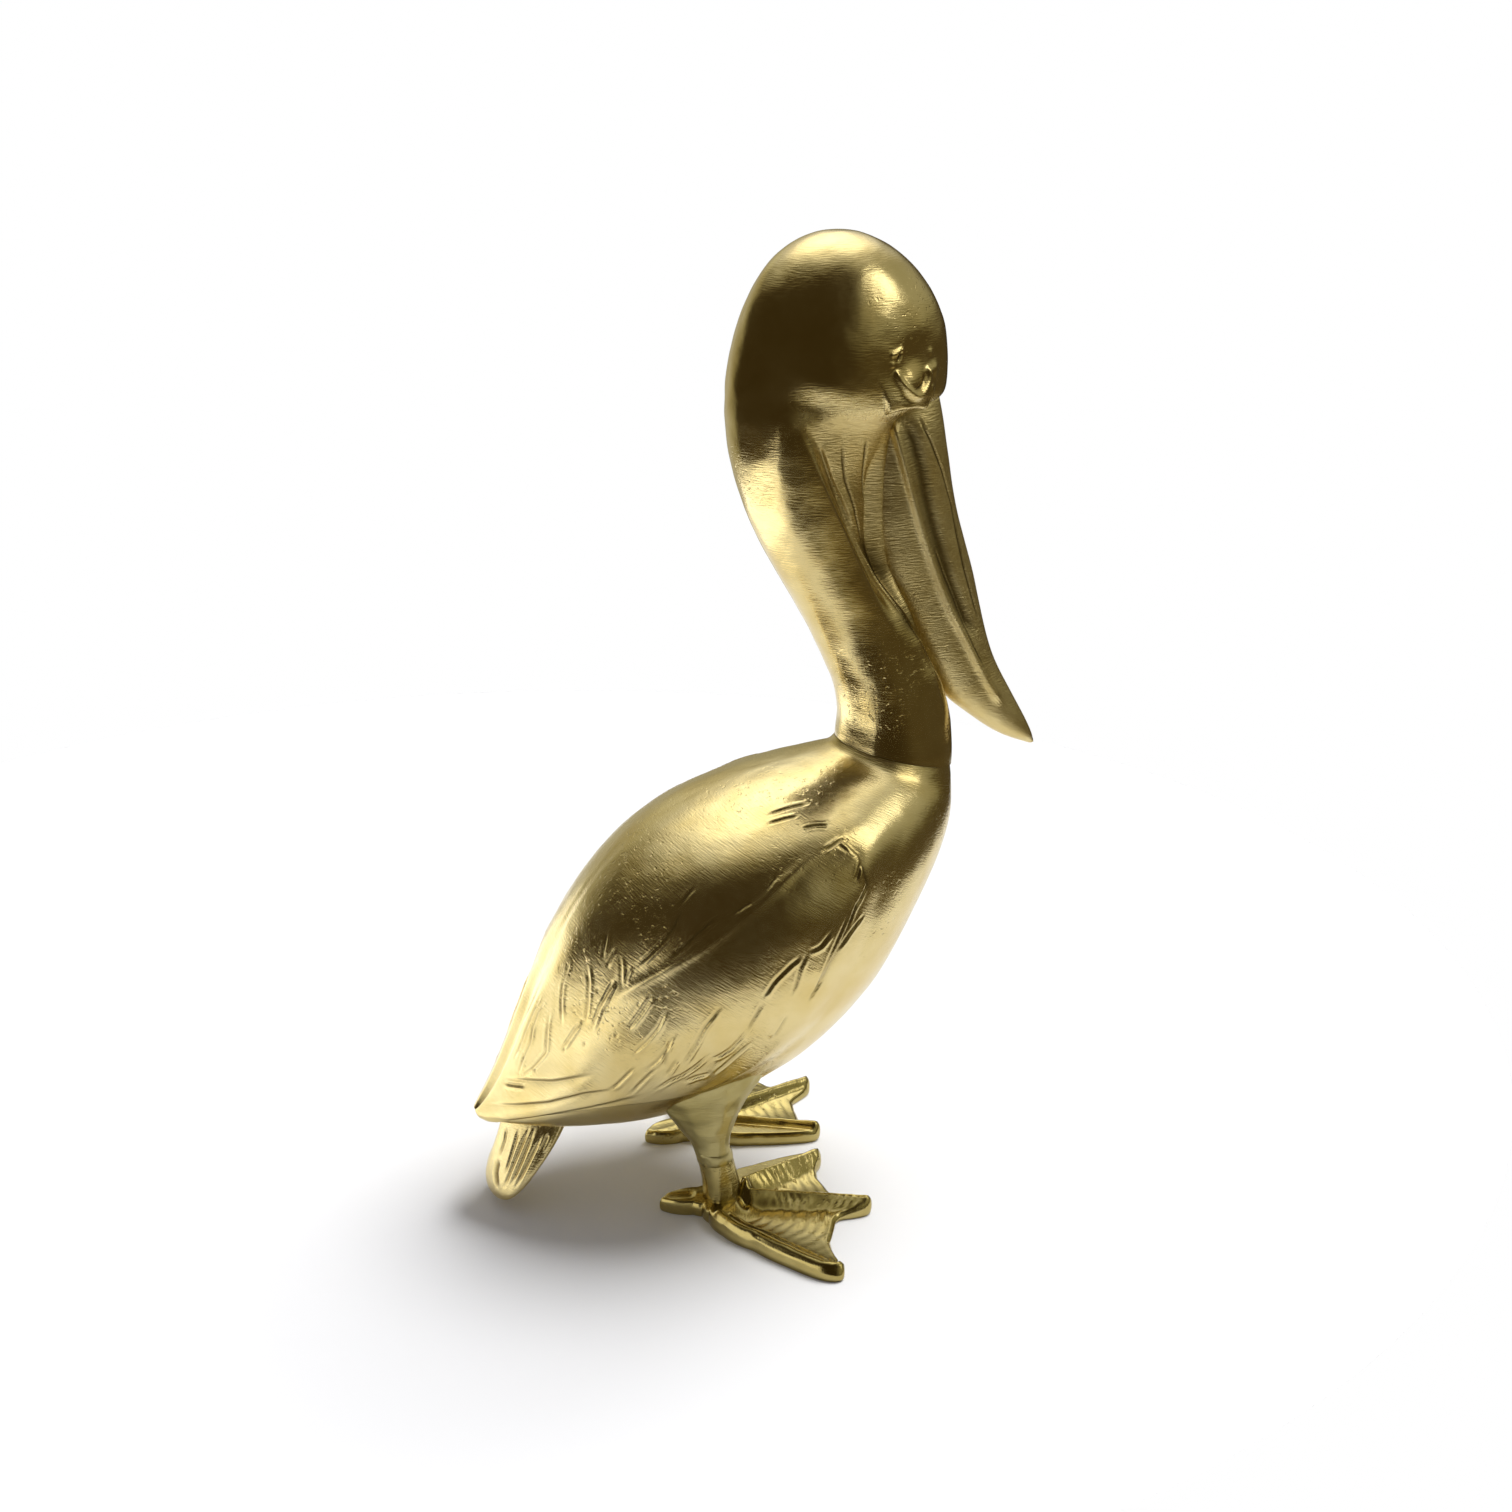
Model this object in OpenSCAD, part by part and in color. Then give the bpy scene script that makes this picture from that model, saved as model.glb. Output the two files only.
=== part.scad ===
// Cast brass pelican figurine: hollow body and neck halves on solid legs and webbed feet.
// Millimetres. +X points forward along the bill, +Y to the bird's left, +Z up. The soles lie at z = 0.

/* [Figure] */
// Length from the bill tip to the wing tips
figure_l = 172; // [160:1:184]
// Width across the outer toes of the two feet
figure_w = 142; // [134:1:150]
// Height of the neck joint's rear edge above the floor
shoulder_h = 135; // [129:1:141]

/* [Body] */
// Full width of the body at its widest rib
body_w = 86; // [76:1:94]
// Wall of the hollow body and neck castings
wall = 4.5; // [4:0.25:5.5]
// Height of the folded wing above the back and belly
wing_lift = 1.8; // [1:0.1:2.5]

/* [Neck and head] */
// Full width of the head at its widest rib
head_w = 45; // [40:1:50]
// Height of the crown above the rear edge of the neck joint
neck_h = 144; // [134:1:154]
// Thickness of the sleeve that backs the neck joint
sleeve_t = 2.5; // [2:0.25:3.5]

/* [Bill] */
// Full width of the bill at its widest
bill_w = 17; // [14:0.5:19]
// Diameter of the two pins between bill and head
bill_pin_d = 3; // [2.5:0.25:3.5]
// Distance between the two bill pins
bill_pin_gap = 8; // [7:0.5:9]

/* [Tail] */
// Full width of the tail fan
tail_w = 26; // [22:0.5:30]
// Drop of the tail from its seat under the rump to its tip
tail_l = 26; // [22:0.5:27]
// Diameter of the two pins that hold the tail
tail_pin_d = 3; // [2.5:0.25:3.5]
// Distance between the two tail pins
tail_pin_gap = 9; // [8:0.5:10]

/* [Legs] */
// Forward step of the left leg
left_step = 5; // [0:0.5:6]
// Diameter of the leg at the braze ring
leg_d = 10; // [8.5:0.25:11]
// Diameter of the thigh where it enters the body
thigh_d = 16; // [14:0.5:17]
// Height of the braze ring above the floor
ring_z = 18; // [16:0.5:20]
// Thickness of the braze bead round the leg
ring_t = 1; // [0.6:0.1:1.4]
// Diameter of the dowel between thigh and shank
leg_dowel_d = 4; // [3:0.25:5]
// Depth of the leg dowel in each piece
leg_dowel_depth = 4; // [3:0.5:4.5]

/* [Feet] */
// Length of the inner toe from the leg axis
inner_toe = 40; // [36:0.5:44]
// Length of the middle toe from the leg axis
middle_toe = 44; // [40:0.5:48]
// Length of the outer toe from the leg axis
outer_toe = 53; // [48:0.5:56]
// Length of the hind toe from the leg axis
hind_toe = 17; // [14:0.5:20]
// Half-width of a toe
toe_r = 4; // [3.25:0.25:4.5]
// Height of the toes above the sole
toe_h = 6.5; // [5.5:0.25:7.5]
// Height of the web above the sole
web_h = 3; // [2.5:0.25:4]
// Turn of each foot away from straight ahead, in degrees
turn_out = 20; // [12:1:24]
// Diameter of the tenon between shank and foot
tenon_d = 7; // [5.5:0.25:7.5]
// Depth of the tenon in the foot
tenon_depth = 5.5; // [4:0.5:6]

/* [Fits] */
// Diameter of the dowels along the seams
seam_dowel_d = 2.2; // [1.8:0.1:2.6]
// Length of a seam dowel
seam_dowel_l = 8; // [6:0.5:10]
// Clearance left round pins, tenons and the sleeve
fit = 0.1; // [0.05:0.05:0.2]

/* [Hidden] */
$fn = 48;

cast_gold = [0.78, 0.66, 0.36];
polished_gold = [0.86, 0.75, 0.45];
olive_gold = [0.62, 0.52, 0.24];
pin_gold = [0.7, 0.58, 0.3];

// Sides of the bird
right = -1;
left = 1;

// Degrees in a half and a full turn
half_turn = 180;
full_turn = 360;

// Body ribs from the neck joint to the wing tips, in the mid-plane:
// back x, back z, front x, front z, half-width, front wall factor, wing top angle, wing low angle, wing lift
body_drawing = [
    [24.5, 135, 59, 126, 17, 1, 56, 84, 0],
    [19, 132, 59, 115, 23, 1, 52, 84, 0],
    [9, 130, 56, 104, 30, 1, 46, 84, 0],
    [-5, 127, 50, 92, 36.5, 1, 38, 90, 1],
    [-20, 121.5, 43.5, 79, 41, 1, 29, 99, 1],
    [-34, 114, 36, 66, 43, 1, 21, 106, 1],
    [-46, 103, 26, 53.5, 42.5, 1, 12, 112, 1],
    [-56, 89, 13, 42, 39.5, 1, 6, 116, 1],
    [-64, 73, -3, 33.5, 35, 1, 3, 113, 1],
    [-70, 58, -20, 27.5, 29, 1, 3, 93, 1],
    [-75.5, 45, -38, 25.5, 23, 1, 3, 74, 1],
    [-80, 36, -56, 26, 16, 1, 3, 62, 1],
    [-84, 31, -72, 28, 9, 1, 3, 60, 0.7],
    [-85.5, 30, -80, 28.5, 4, 1, 3, 60, 0]
];
// Neck and head ribs above the joint, heights counted from the joint's rear edge
neck_drawing = [
    [25.5, 7, 58, 2, 15.5, 1],
    [24.5, 15, 56, 12, 14.5, 1.3],
    [20, 25, 52.5, 23, 14, 1.8],
    [15, 35, 48.5, 34, 14, 2],
    [9.5, 45, 45, 45, 15, 2],
    [4, 55, 43, 55, 16, 2.2],
    [-1.5, 65, 43, 65, 17.5, 2.4],
    [-5, 75, 44, 75, 19, 2.6],
    [-7.5, 85, 46.5, 85, 20.5, 3],
    [-8.2, 95, 51, 95, 22, 3.5],
    [-8, 105, 54.5, 105, 22.5, 2],
    [-6, 115, 54.3, 115, 22, 1],
    [-2.5, 125, 51, 125, 20, 1],
    [3.5, 135, 43.5, 135, 15.5, 1],
    [10, 140.5, 36, 140.5, 10, 1],
    [20, 144, 25, 144, 2, 1]
];
// Bill ribs from the root under the brow to the tip: rear x, rear height, front x, front height, half-width
bill_drawing = [
    [38.5, 95.2, 53, 96.4, 8],
    [37, 88, 54.8, 89, 8.5],
    [37, 77, 56.5, 79, 8.5],
    [37.3, 65, 58.7, 68, 8.5],
    [37.8, 55, 61.5, 58, 8.5],
    [42, 43, 65.3, 46, 8],
    [47, 30, 68.3, 33, 7.5],
    [52.5, 19, 72.3, 21, 7],
    [58, 10, 77.8, 11, 6.5],
    [66, 3.5, 82.3, 3, 5.5],
    [75.5, -3, 85.5, -3, 4],
    [85, -6.7, 86.6, -6.3, 1]
];
// Tail ribs: rear x, rear drop share, front x, front drop share, half-width share
tail_drawing = [
    [-76, 0, -57, 0, 0.7],
    [-79, 0.27, -63, 0.35, 0.88],
    [-82, 0.57, -70, 0.68, 1],
    [-84, 0.8, -76, 0.92, 0.92],
    [-83, 0.95, -80, 0.98, 0.55],
    [-82, 1, -81.5, 1, 0.16]
];

// Rows of the lofts between two ribs, and points round them
rows_per_rib = 2;
back_cols = 3;
wing_cols = 7;
belly_cols = 5;
neck_cols = 12;
ring_cols = 20;
// Angle over which the wing steps down to the back and belly
wing_step_angle = 5;
// Last rib reached by the hollow of the body and of the head
body_core_end = 9.5;
neck_core_end = 13.5;

// Seam dowels sit on these ribs, in the middle of the wall
body_dowels_back = [1.5, 3.5, 5.5, 7.5];
body_dowels_belly = [1.5, 3.5, 5.5, 7.5];
neck_dowels_back = [2, 5, 8, 11.5];

// Place of the bill pins and their reach into the bill and the brow
bill_pin_x = 46;
bill_pin_down = 7;
bill_pin_up = 6;
// Clearance between the bill and the slot in the neck's front
bill_slot_gap = 0.3;

// Flat seat for the tail, cut under the rump, and the reach of the tail pins
tail_seat_z = 29;
tail_seat_front = -53;
tail_seat_rear = -90;
tail_pin_x = -67;
tail_pin_reach = 6;

// Leg axis of the right leg, the end of the thigh's flare, the top of its plug, and the ankle
leg_x = -18.5;
flare_z = 29;
plug_z = 52;
flare_steps = 6;
shank_taper = 0.75;
ankle_r = 6;
ankle_z = 9;
ankle_slope = 1.2;

// Toe directions from the middle toe, counted towards the bird's mid-plane
inner_angle = 44;
outer_angle = -43;
hind_angle = 190;
// Share of the neighbouring toes' length that the web reaches midway between them and beside them
web_reach = 0.76;
web_end_reach = 0.9;
// Height share of a toe's edge, heel radius, and the angle over which the hind toe spreads
toe_edge = 0.7;
heel_r = 9;
hind_angle_span = 40;
// Where the foot's two sides leave the heel, and how far they bow out
outer_heel_angle = -125;
inner_heel_angle = 130;
side_bow = 0.35;
foot_angle_step = 3;
foot_rings = 5;

// Reach of the neck sleeve into the neck and into the body, counted in ribs
sleeve_up = 1.2;
sleeve_down = 0.6;
sleeve_rows = 3;
// Extra length of a cut that runs out of the piece
through = 1;

// Scales of the drawn tables
function drawn_width(table) = 2 * max([for (r = table) r[4]]);
drawn_front = max([for (r = bill_drawing) r[2]]);
drawn_rear = min([for (r = body_drawing) r[0]]);
drawn_neck_h = max([for (r = neck_drawing) r[1]]);
long_scale = figure_l / (drawn_front - drawn_rear);
tall_scale = shoulder_h / body_drawing[0][1];
body_scale = body_w / drawn_width(body_drawing);
head_scale = head_w / drawn_width(neck_drawing);
neck_scale = neck_h / drawn_neck_h;
bill_scale = bill_w / drawn_width(bill_drawing);
tail_top_z = tail_seat_z * tall_scale;

// Rib tables at the chosen sizes
body_ribs = [for (r = body_drawing) [
    r[0] * long_scale, r[1] * tall_scale, r[2] * long_scale, r[3] * tall_scale,
    r[4] * body_scale, r[5], r[6], r[7], r[8]]];
joint_rib = [for (c = [0 : 5]) body_ribs[0][c]];
neck_ribs = concat([joint_rib], [for (r = neck_drawing) [
    r[0] * long_scale, shoulder_h + r[1] * neck_scale, r[2] * long_scale, shoulder_h + r[3] * neck_scale,
    r[4] * head_scale, r[5]]]);
bill_ribs = [for (r = bill_drawing) [
    r[0] * long_scale, shoulder_h + r[1] * neck_scale, r[2] * long_scale, shoulder_h + r[3] * neck_scale,
    r[4] * bill_scale]];
tail_ribs = [for (r = tail_drawing) [
    r[0] * long_scale, tail_top_z - r[1] * tail_l, r[2] * long_scale, tail_top_z - r[3] * tail_l,
    r[4] * tail_w / 2]];

// Smooth rib between the drawn ones: a cubic whose slope never overshoots
function mean_slope(a, b) = a * b > 0 ? 2 * a * b / (a + b) : 0;
function rib_slope(ribs, i, c) =
    i == 0 ? ribs[1][c] - ribs[0][c]
    : i == len(ribs) - 1 ? ribs[i][c] - ribs[i - 1][c]
    : mean_slope(ribs[i][c] - ribs[i - 1][c], ribs[i + 1][c] - ribs[i][c]);
function rib_at(ribs, u) =
    let (i = min(floor(u), len(ribs) - 2), t = u - i)
    [for (c = [0 : len(ribs[0]) - 1])
        ribs[i][c] * (2 * t ^ 3 - 3 * t ^ 2 + 1) + rib_slope(ribs, i, c) * (t ^ 3 - 2 * t ^ 2 + t)
        + ribs[i + 1][c] * (3 * t ^ 2 - 2 * t ^ 3) + rib_slope(ribs, i + 1, c) * (t ^ 3 - t ^ 2)];

// Rib moved inwards by a depth, and more at the front where the rib says so
function inset(r, depth) =
    let (span = [r[2] - r[0], r[3] - r[1]], along = span / norm(span), front = r[5] * depth)
    [
        r[0] + along[0] * depth, r[1] + along[1] * depth,
        r[2] - along[0] * front, r[3] - along[1] * front,
        r[4] - depth
    ];

// Point on a rib's oval: angle 0 at the back, 180 at the front, lifted outwards
function oval_point(r, angle, side, lift = 0) =
    let (span = [r[2] - r[0], r[3] - r[1]], along = span / norm(span))
    [
        (r[0] + r[2]) / 2 - (span[0] / 2 + lift * along[0]) * cos(angle),
        side * (r[4] + lift) * sin(angle),
        (r[1] + r[3]) / 2 - (span[1] / 2 + lift * along[1]) * cos(angle)
    ];

// Angle and lift of each column across the back, the folded wing and the belly
function wing_columns(r) =
    let (top = r[6], low = r[7], lift = r[8] * wing_lift)
    let (from = top + wing_step_angle, under = low + wing_step_angle)
    concat(
        [for (k = [0 : back_cols]) [top * k / back_cols, 0]],
        [for (k = [0 : wing_cols]) [from + (low - from) * k / wing_cols, lift]],
        [for (k = [0 : belly_cols]) [under + (half_turn - under) * k / belly_cols, 0]]
    );
body_cols = back_cols + wing_cols + belly_cols + 2;

function even_row(r, side, cols) = [for (j = [0 : cols]) oval_point(r, half_turn * j / cols, side)];
function winged_row(r, side) = [for (p = wing_columns(r)) oval_point(r, p[0], side, p[1])];

// Faces of one quad, turned over for the other side of the bird
function quad(a, b, c, d, flip) = flip ? [[a, c, b], [a, d, c]] : [[a, b, c], [a, c, d]];
function tri(a, b, c, flip) = flip ? [a, c, b] : [a, b, c];

// Half of a hollow casting: outer rows, inner rows beside the first of them, a planar seam at y = 0 and
// an open rim at the first row
module half_shell(outer, inner, side) {
    n = len(outer);
    k = len(inner) - 1;
    m = len(outer[0]) - 1;
    flip = side == left;
    function o(i, j) = i * (m + 1) + j;
    function q(i, j) = (n + i) * (m + 1) + j;
    outer_skin = [for (i = [0 : n - 2], j = [0 : m - 1]) each
        quad(o(i, j), o(i, j + 1), o(i + 1, j + 1), o(i + 1, j), flip)];
    inner_skin = [for (i = [0 : k - 1], j = [0 : m - 1]) each
        quad(q(i, j), q(i + 1, j), q(i + 1, j + 1), q(i, j + 1), flip)];
    rim = [for (j = [0 : m - 1]) each quad(o(0, j + 1), o(0, j), q(0, j), q(0, j + 1), flip)];
    caps = [for (j = [1 : m - 1]) each [
        tri(o(n - 1, 0), o(n - 1, j), o(n - 1, j + 1), flip),
        tri(q(k, 0), q(k, j + 1), q(k, j), flip)]];
    wall_seam = [for (i = [0 : k - 1]) each concat(
        quad(o(i, 0), o(i + 1, 0), q(i + 1, 0), q(i, 0), flip),
        quad(o(i + 1, m), o(i, m), q(i, m), q(i + 1, m), flip))];
    end_seam = concat(
        [tri(o(k, 0), o(k + 1, 0), q(k, 0), flip), tri(o(k + 1, m), o(k, m), q(k, m), flip)],
        quad(o(k + 1, 0), o(k + 1, m), q(k, m), q(k, 0), flip));
    solid_seam = [for (i = [k + 1 : n - 2]) each
        quad(o(i, 0), o(i + 1, 0), o(i + 1, m), o(i, m), flip)];
    polyhedron(
        [for (r = concat(outer, inner)) each r],
        concat(outer_skin, inner_skin, rim, caps, wall_seam, end_seam, solid_seam));
}

// Solid loft through full rings
module loft(rings) {
    n = len(rings);
    m = len(rings[0]);
    function o(i, j) = i * m + j % m;
    sides = [for (i = [0 : n - 2], j = [0 : m - 1]) each
        quad(o(i, j), o(i, j + 1), o(i + 1, j + 1), o(i + 1, j), false)];
    caps = [for (j = [1 : m - 2]) each [
        [o(0, 0), o(0, j + 1), o(0, j)],
        [o(n - 1, 0), o(n - 1, j), o(n - 1, j + 1)]]];
    polyhedron([for (r = rings) each r], concat(sides, caps));
}
function full_ring(r) = [for (j = [0 : ring_cols - 1]) oval_point(r, full_turn * j / ring_cols, right)];
function loft_rows(ribs) = [for (k = [0 : rows_per_rib * (len(ribs) - 1)]) rib_at(ribs, k / rows_per_rib)];

// Half-castings before they are drilled
body_rows = loft_rows(body_ribs);
body_core = [for (i = [0 : rows_per_rib * body_core_end]) body_rows[i]];
neck_rows = loft_rows(neck_ribs);
neck_core = [for (i = [0 : rows_per_rib * neck_core_end]) neck_rows[i]];

module body_half(side) {
    half_shell(
        [for (r = body_rows) winged_row(r, side)],
        [for (r = body_core) even_row(inset(r, wall), side, body_cols)],
        side);
}
module neck_half(side) {
    half_shell(
        [for (r = neck_rows) even_row(r, side, neck_cols)],
        [for (r = neck_core) even_row(inset(r, wall), side, neck_cols)],
        side == left ? right : left);
}

// Seam dowels across y = 0 in the middle of the wall, at the back or at the belly of a rib
function wall_middle(ribs, u, front) =
    let (r = inset(rib_at(ribs, u), wall / 2))
    front ? [r[2], 0, r[3]] : [r[0], 0, r[1]];
body_dowel_places = concat(
    [for (u = body_dowels_back) wall_middle(body_ribs, u, false)],
    [for (u = body_dowels_belly) wall_middle(body_ribs, u, true)]);
neck_dowel_places = [for (u = neck_dowels_back) wall_middle(neck_ribs, u, false)];
module cross_dowels(places, d, l) {
    for (p = places) translate(p) rotate([90, 0, 0]) cylinder(d = d, h = l, center = true);
}

// Leg axes, set in from the outer toes' tips
toe_out = (outer_toe - toe_r) * sin(turn_out - outer_angle) + toe_r;
function leg_axis(side) = [
    leg_x * long_scale + (side == left ? left_step : 0),
    side * (figure_w / 2 - toe_out)];
module at_leg(side) { translate([leg_axis(side)[0], leg_axis(side)[1], 0]) children(); }

// Castings with their dowel holes, thigh sockets, tail seat and bill slot
module body_shell(side) {
    difference() {
        body_half(side);
        cross_dowels(body_dowel_places, seam_dowel_d + 2 * fit, seam_dowel_l + 2 * fit);
        at_leg(side) cylinder(d = thigh_d + 2 * fit, h = plug_z * tall_scale + through);
        translate([tail_seat_rear * long_scale, -body_w / 2, tail_top_z - tail_l])
            cube([(tail_seat_front - tail_seat_rear) * long_scale, body_w, tail_l]);
        tail_pin_set(tail_pin_d + 2 * fit, fit);
    }
}
module neck_shell(side) {
    difference() {
        neck_half(side);
        cross_dowels(neck_dowel_places, seam_dowel_d + 2 * fit, seam_dowel_l + 2 * fit);
        bill_pin_set(bill_pin_d + 2 * fit, fit);
        bill_slot();
    }
}
module body_right_shell() { color(polished_gold) body_shell(right); }
module body_left_shell() { color(polished_gold) body_shell(left); }
module neck_right_shell() { color(cast_gold) neck_shell(right); }
module neck_left_shell() { color(cast_gold) neck_shell(left); }

// Sleeve behind the neck joint, from inside the neck down into the shoulders
sleeve_path = concat(
    [for (k = [sleeve_rows : -1 : 1]) rib_at(neck_ribs, sleeve_up * k / sleeve_rows)],
    [for (k = [0 : sleeve_rows]) [for (c = [0 : 5]) rib_at(body_ribs, sleeve_down * k / sleeve_rows)[c]]]);
module tube(outer, inner) {
    n = len(outer);
    m = len(outer[0]);
    function o(i, j) = i * m + j % m;
    function q(i, j) = (n + i) * m + j % m;
    skins = [for (i = [0 : n - 2], j = [0 : m - 1]) each concat(
        quad(o(i, j), o(i, j + 1), o(i + 1, j + 1), o(i + 1, j), false),
        quad(q(i, j), q(i + 1, j), q(i + 1, j + 1), q(i, j + 1), false))];
    rims = [for (j = [0 : m - 1]) each concat(
        quad(o(0, j + 1), o(0, j), q(0, j), q(0, j + 1), false),
        quad(o(n - 1, j), o(n - 1, j + 1), q(n - 1, j + 1), q(n - 1, j), false))];
    polyhedron([for (r = concat(outer, inner)) each r], concat(skins, rims));
}
module neck_sleeve() {
    color(olive_gold) tube(
        [for (r = sleeve_path) full_ring(inset(r, wall + fit))],
        [for (r = sleeve_path) full_ring(inset(r, wall + fit + sleeve_t))]);
}

// Bill, the slot it lies in and its pins into the brow
bill_root_z = bill_ribs[0][1];
bill_root_slope = (bill_ribs[0][3] - bill_ribs[0][1]) / (bill_ribs[0][2] - bill_ribs[0][0]);
module bill_slot() {
    rear = [for (r = loft_rows(bill_ribs)) [r[0] - bill_slot_gap, r[1]]];
    root_x = rear[0][0];
    top_z = bill_root_z + bill_slot_gap;
    tip = rear[len(rear) - 1];
    front_x = tip[0] + through;
    rotate([90, 0, 0]) linear_extrude(bill_w + 2 * bill_slot_gap, center = true) polygon(concat(
        [[front_x, top_z + bill_root_slope * (front_x - root_x)], [root_x, top_z]],
        rear, [[front_x, tip[1]]]));
}
module bill_pin_set(d, spare) {
    for (side = [right, left])
        translate([bill_pin_x * long_scale, side * bill_pin_gap / 2, bill_root_z - bill_pin_down - spare])
            cylinder(d = d, h = bill_pin_down + bill_pin_up + 2 * spare);
}
module bill() {
    color(cast_gold) difference() {
        loft([for (r = loft_rows(bill_ribs)) full_ring(r)]);
        bill_pin_set(bill_pin_d + 2 * fit, fit);
    }
}
module bill_pins() { color(pin_gold) bill_pin_set(bill_pin_d, 0); }

// Tail fan under the rump and its pins
module tail_pin_set(d, spare) {
    for (side = [right, left])
        translate([tail_pin_x * long_scale, side * tail_pin_gap / 2, tail_top_z - tail_pin_reach - spare])
            cylinder(d = d, h = 2 * (tail_pin_reach + spare));
}
module tail_fan() {
    color(polished_gold) difference() {
        loft([for (r = loft_rows(tail_ribs)) full_ring(r)]);
        tail_pin_set(tail_pin_d + 2 * fit, fit);
    }
}
module tail_pins() { color(pin_gold) tail_pin_set(tail_pin_d, 0); }

module body_seam_dowels() { color(pin_gold) cross_dowels(body_dowel_places, seam_dowel_d, seam_dowel_l); }
module neck_seam_dowels() { color(pin_gold) cross_dowels(neck_dowel_places, seam_dowel_d, seam_dowel_l); }

// Legs: thigh plugged into the body, shank into the foot, a braze bead round the butt joint
module thigh(side) {
    bead = ring_z + 2 * ring_t;
    at_leg(side) difference() {
        rotate_extrude() polygon(concat(
            [[0, ring_z], [leg_d / 2, ring_z], [leg_d / 2, bead]],
            [for (k = [1 : flare_steps])
                let (t = k / flare_steps)
                [leg_d / 2 + (thigh_d - leg_d) / 2 * t ^ 2, bead + (flare_z * tall_scale - bead) * t]],
            [[thigh_d / 2, plug_z * tall_scale], [0, plug_z * tall_scale]]));
        leg_dowel(leg_dowel_d + 2 * fit, fit);
    }
}
module leg_dowel(d, spare) {
    translate([0, 0, ring_z - leg_dowel_depth - spare])
        cylinder(d = d, h = 2 * (leg_dowel_depth + spare));
}
module shank(side) {
    bead = ring_z - 2 * ring_t;
    at_leg(side) difference() {
        rotate_extrude() polygon([
            [0, ankle_z - tenon_depth], [tenon_d / 2, ankle_z - tenon_depth], [tenon_d / 2, ankle_z],
            [leg_d / 2 + shank_taper, ankle_z], [leg_d / 2, bead], [leg_d / 2, ring_z], [0, ring_z]]);
        leg_dowel(leg_dowel_d + 2 * fit, fit);
    }
}
module leg_ring(side) {
    at_leg(side) rotate_extrude() intersection() {
        translate([leg_d / 2, ring_z]) scale([1, 2]) circle(r = ring_t);
        translate([leg_d / 2, ring_z - 2 * ring_t]) square([2 * ring_t, 4 * ring_t]);
    }
}
module right_thigh() { color(polished_gold) thigh(right); }
module left_thigh() { color(polished_gold) thigh(left); }
module right_shank() { color(olive_gold) shank(right); }
module left_shank() { color(olive_gold) shank(left); }
module right_leg_ring() { color(cast_gold) leg_ring(right); }
module left_leg_ring() { color(cast_gold) leg_ring(left); }
module leg_dowels() {
    color(pin_gold) for (side = [right, left]) at_leg(side) leg_dowel(leg_dowel_d, 0);
}

// Webbed foot in its own frame: leg axis at the origin, middle toe along +X, mid-plane towards +Y
front_toes = [[inner_angle, inner_toe], [0, middle_toe], [outer_angle, outer_toe]];
toes = concat(front_toes, [[hind_angle, hind_toe]]);
function toe_reach(turn, toe) =
    let (off = turn - toe[0], mid = toe[1] - toe_r, across = mid * abs(sin(off)))
    cos(off) > 0 && across < toe_r ? mid * cos(off) + sqrt(toe_r ^ 2 - across ^ 2) : heel_r;
function hind_reach(turn) =
    let (off = abs(turn < 0 ? turn + full_turn - hind_angle : turn - hind_angle))
    off > hind_angle_span ? heel_r
    : heel_r + (hind_toe - heel_r) * cos(half_turn / 2 * off / hind_angle_span) ^ 2;
function web_edge(turn, a, b) =
    turn < a[0] || turn > b[0] ? 0
    : let (t = (turn - a[0]) / (b[0] - a[0]))
        (a[1] + (b[1] - a[1]) * t) * (web_reach + (web_end_reach - web_reach) * (2 * t - 1) ^ 2);
function side_edge(turn, a, b) =
    turn < a[0] || turn > b[0] ? 0
    : let (t = (turn - a[0]) / (b[0] - a[0]), ray = [cos(turn), sin(turn)],
        p = a[1] * [cos(a[0]), sin(a[0])], d = b[1] * [cos(b[0]), sin(b[0])] - p)
        (1 + side_bow * 4 * t * (1 - t)) * (p[0] * d[1] - p[1] * d[0]) / (ray[0] * d[1] - ray[1] * d[0]);
function foot_reach(turn) = max(
    hind_reach(turn), max([for (toe = front_toes) toe_reach(turn, toe)]),
    web_edge(turn, front_toes[2], front_toes[1]), web_edge(turn, front_toes[1], front_toes[0]),
    side_edge(turn, [outer_heel_angle, heel_r], [outer_angle, outer_toe - toe_r]),
    side_edge(turn, [inner_angle, inner_toe - toe_r], [inner_heel_angle, heel_r]));
function toe_ridge(turn, r, toe) =
    let (off = turn - toe[0], across = r * abs(sin(off)))
    cos(off) > 0 && across < toe_r
        ? toe_h * (toe_edge + (1 - toe_edge) * sqrt(1 - (across / toe_r) ^ 2)) : 0;
function foot_top(turn, r) = max(
    web_h, max([for (toe = toes) toe_ridge(turn, r, toe)]),
    ankle_z - ankle_slope * (r - ankle_r));
module foot_blank() {
    turns = [for (a = [-half_turn : foot_angle_step : half_turn - foot_angle_step]) a];
    n = len(turns);
    function top_ring(k) = [for (a = turns)
        let (r = ankle_r + (foot_reach(a) - ankle_r) * k / foot_rings)
        [r * cos(a), r * sin(a), foot_top(a, r)]];
    rings = concat([for (k = [0 : foot_rings]) top_ring(k)],
        [[for (p = top_ring(foot_rings)) [p[0], p[1], 0]]]);
    loft_points = concat([for (r = rings) each r], [[0, 0, ankle_z], [0, 0, 0]]);
    top = len(loft_points) - 2;
    sole = len(loft_points) - 1;
    last = len(rings) - 1;
    function o(i, j) = i * n + j % n;
    polyhedron(loft_points, concat(
        [for (i = [0 : last - 1], j = [0 : n - 1]) each
            quad(o(i, j), o(i, j + 1), o(i + 1, j + 1), o(i + 1, j), false)],
        [for (j = [0 : n - 1]) each [
            [top, o(0, j + 1), o(0, j)],
            [sole, o(last, j), o(last, j + 1)]]]));
}
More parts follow.
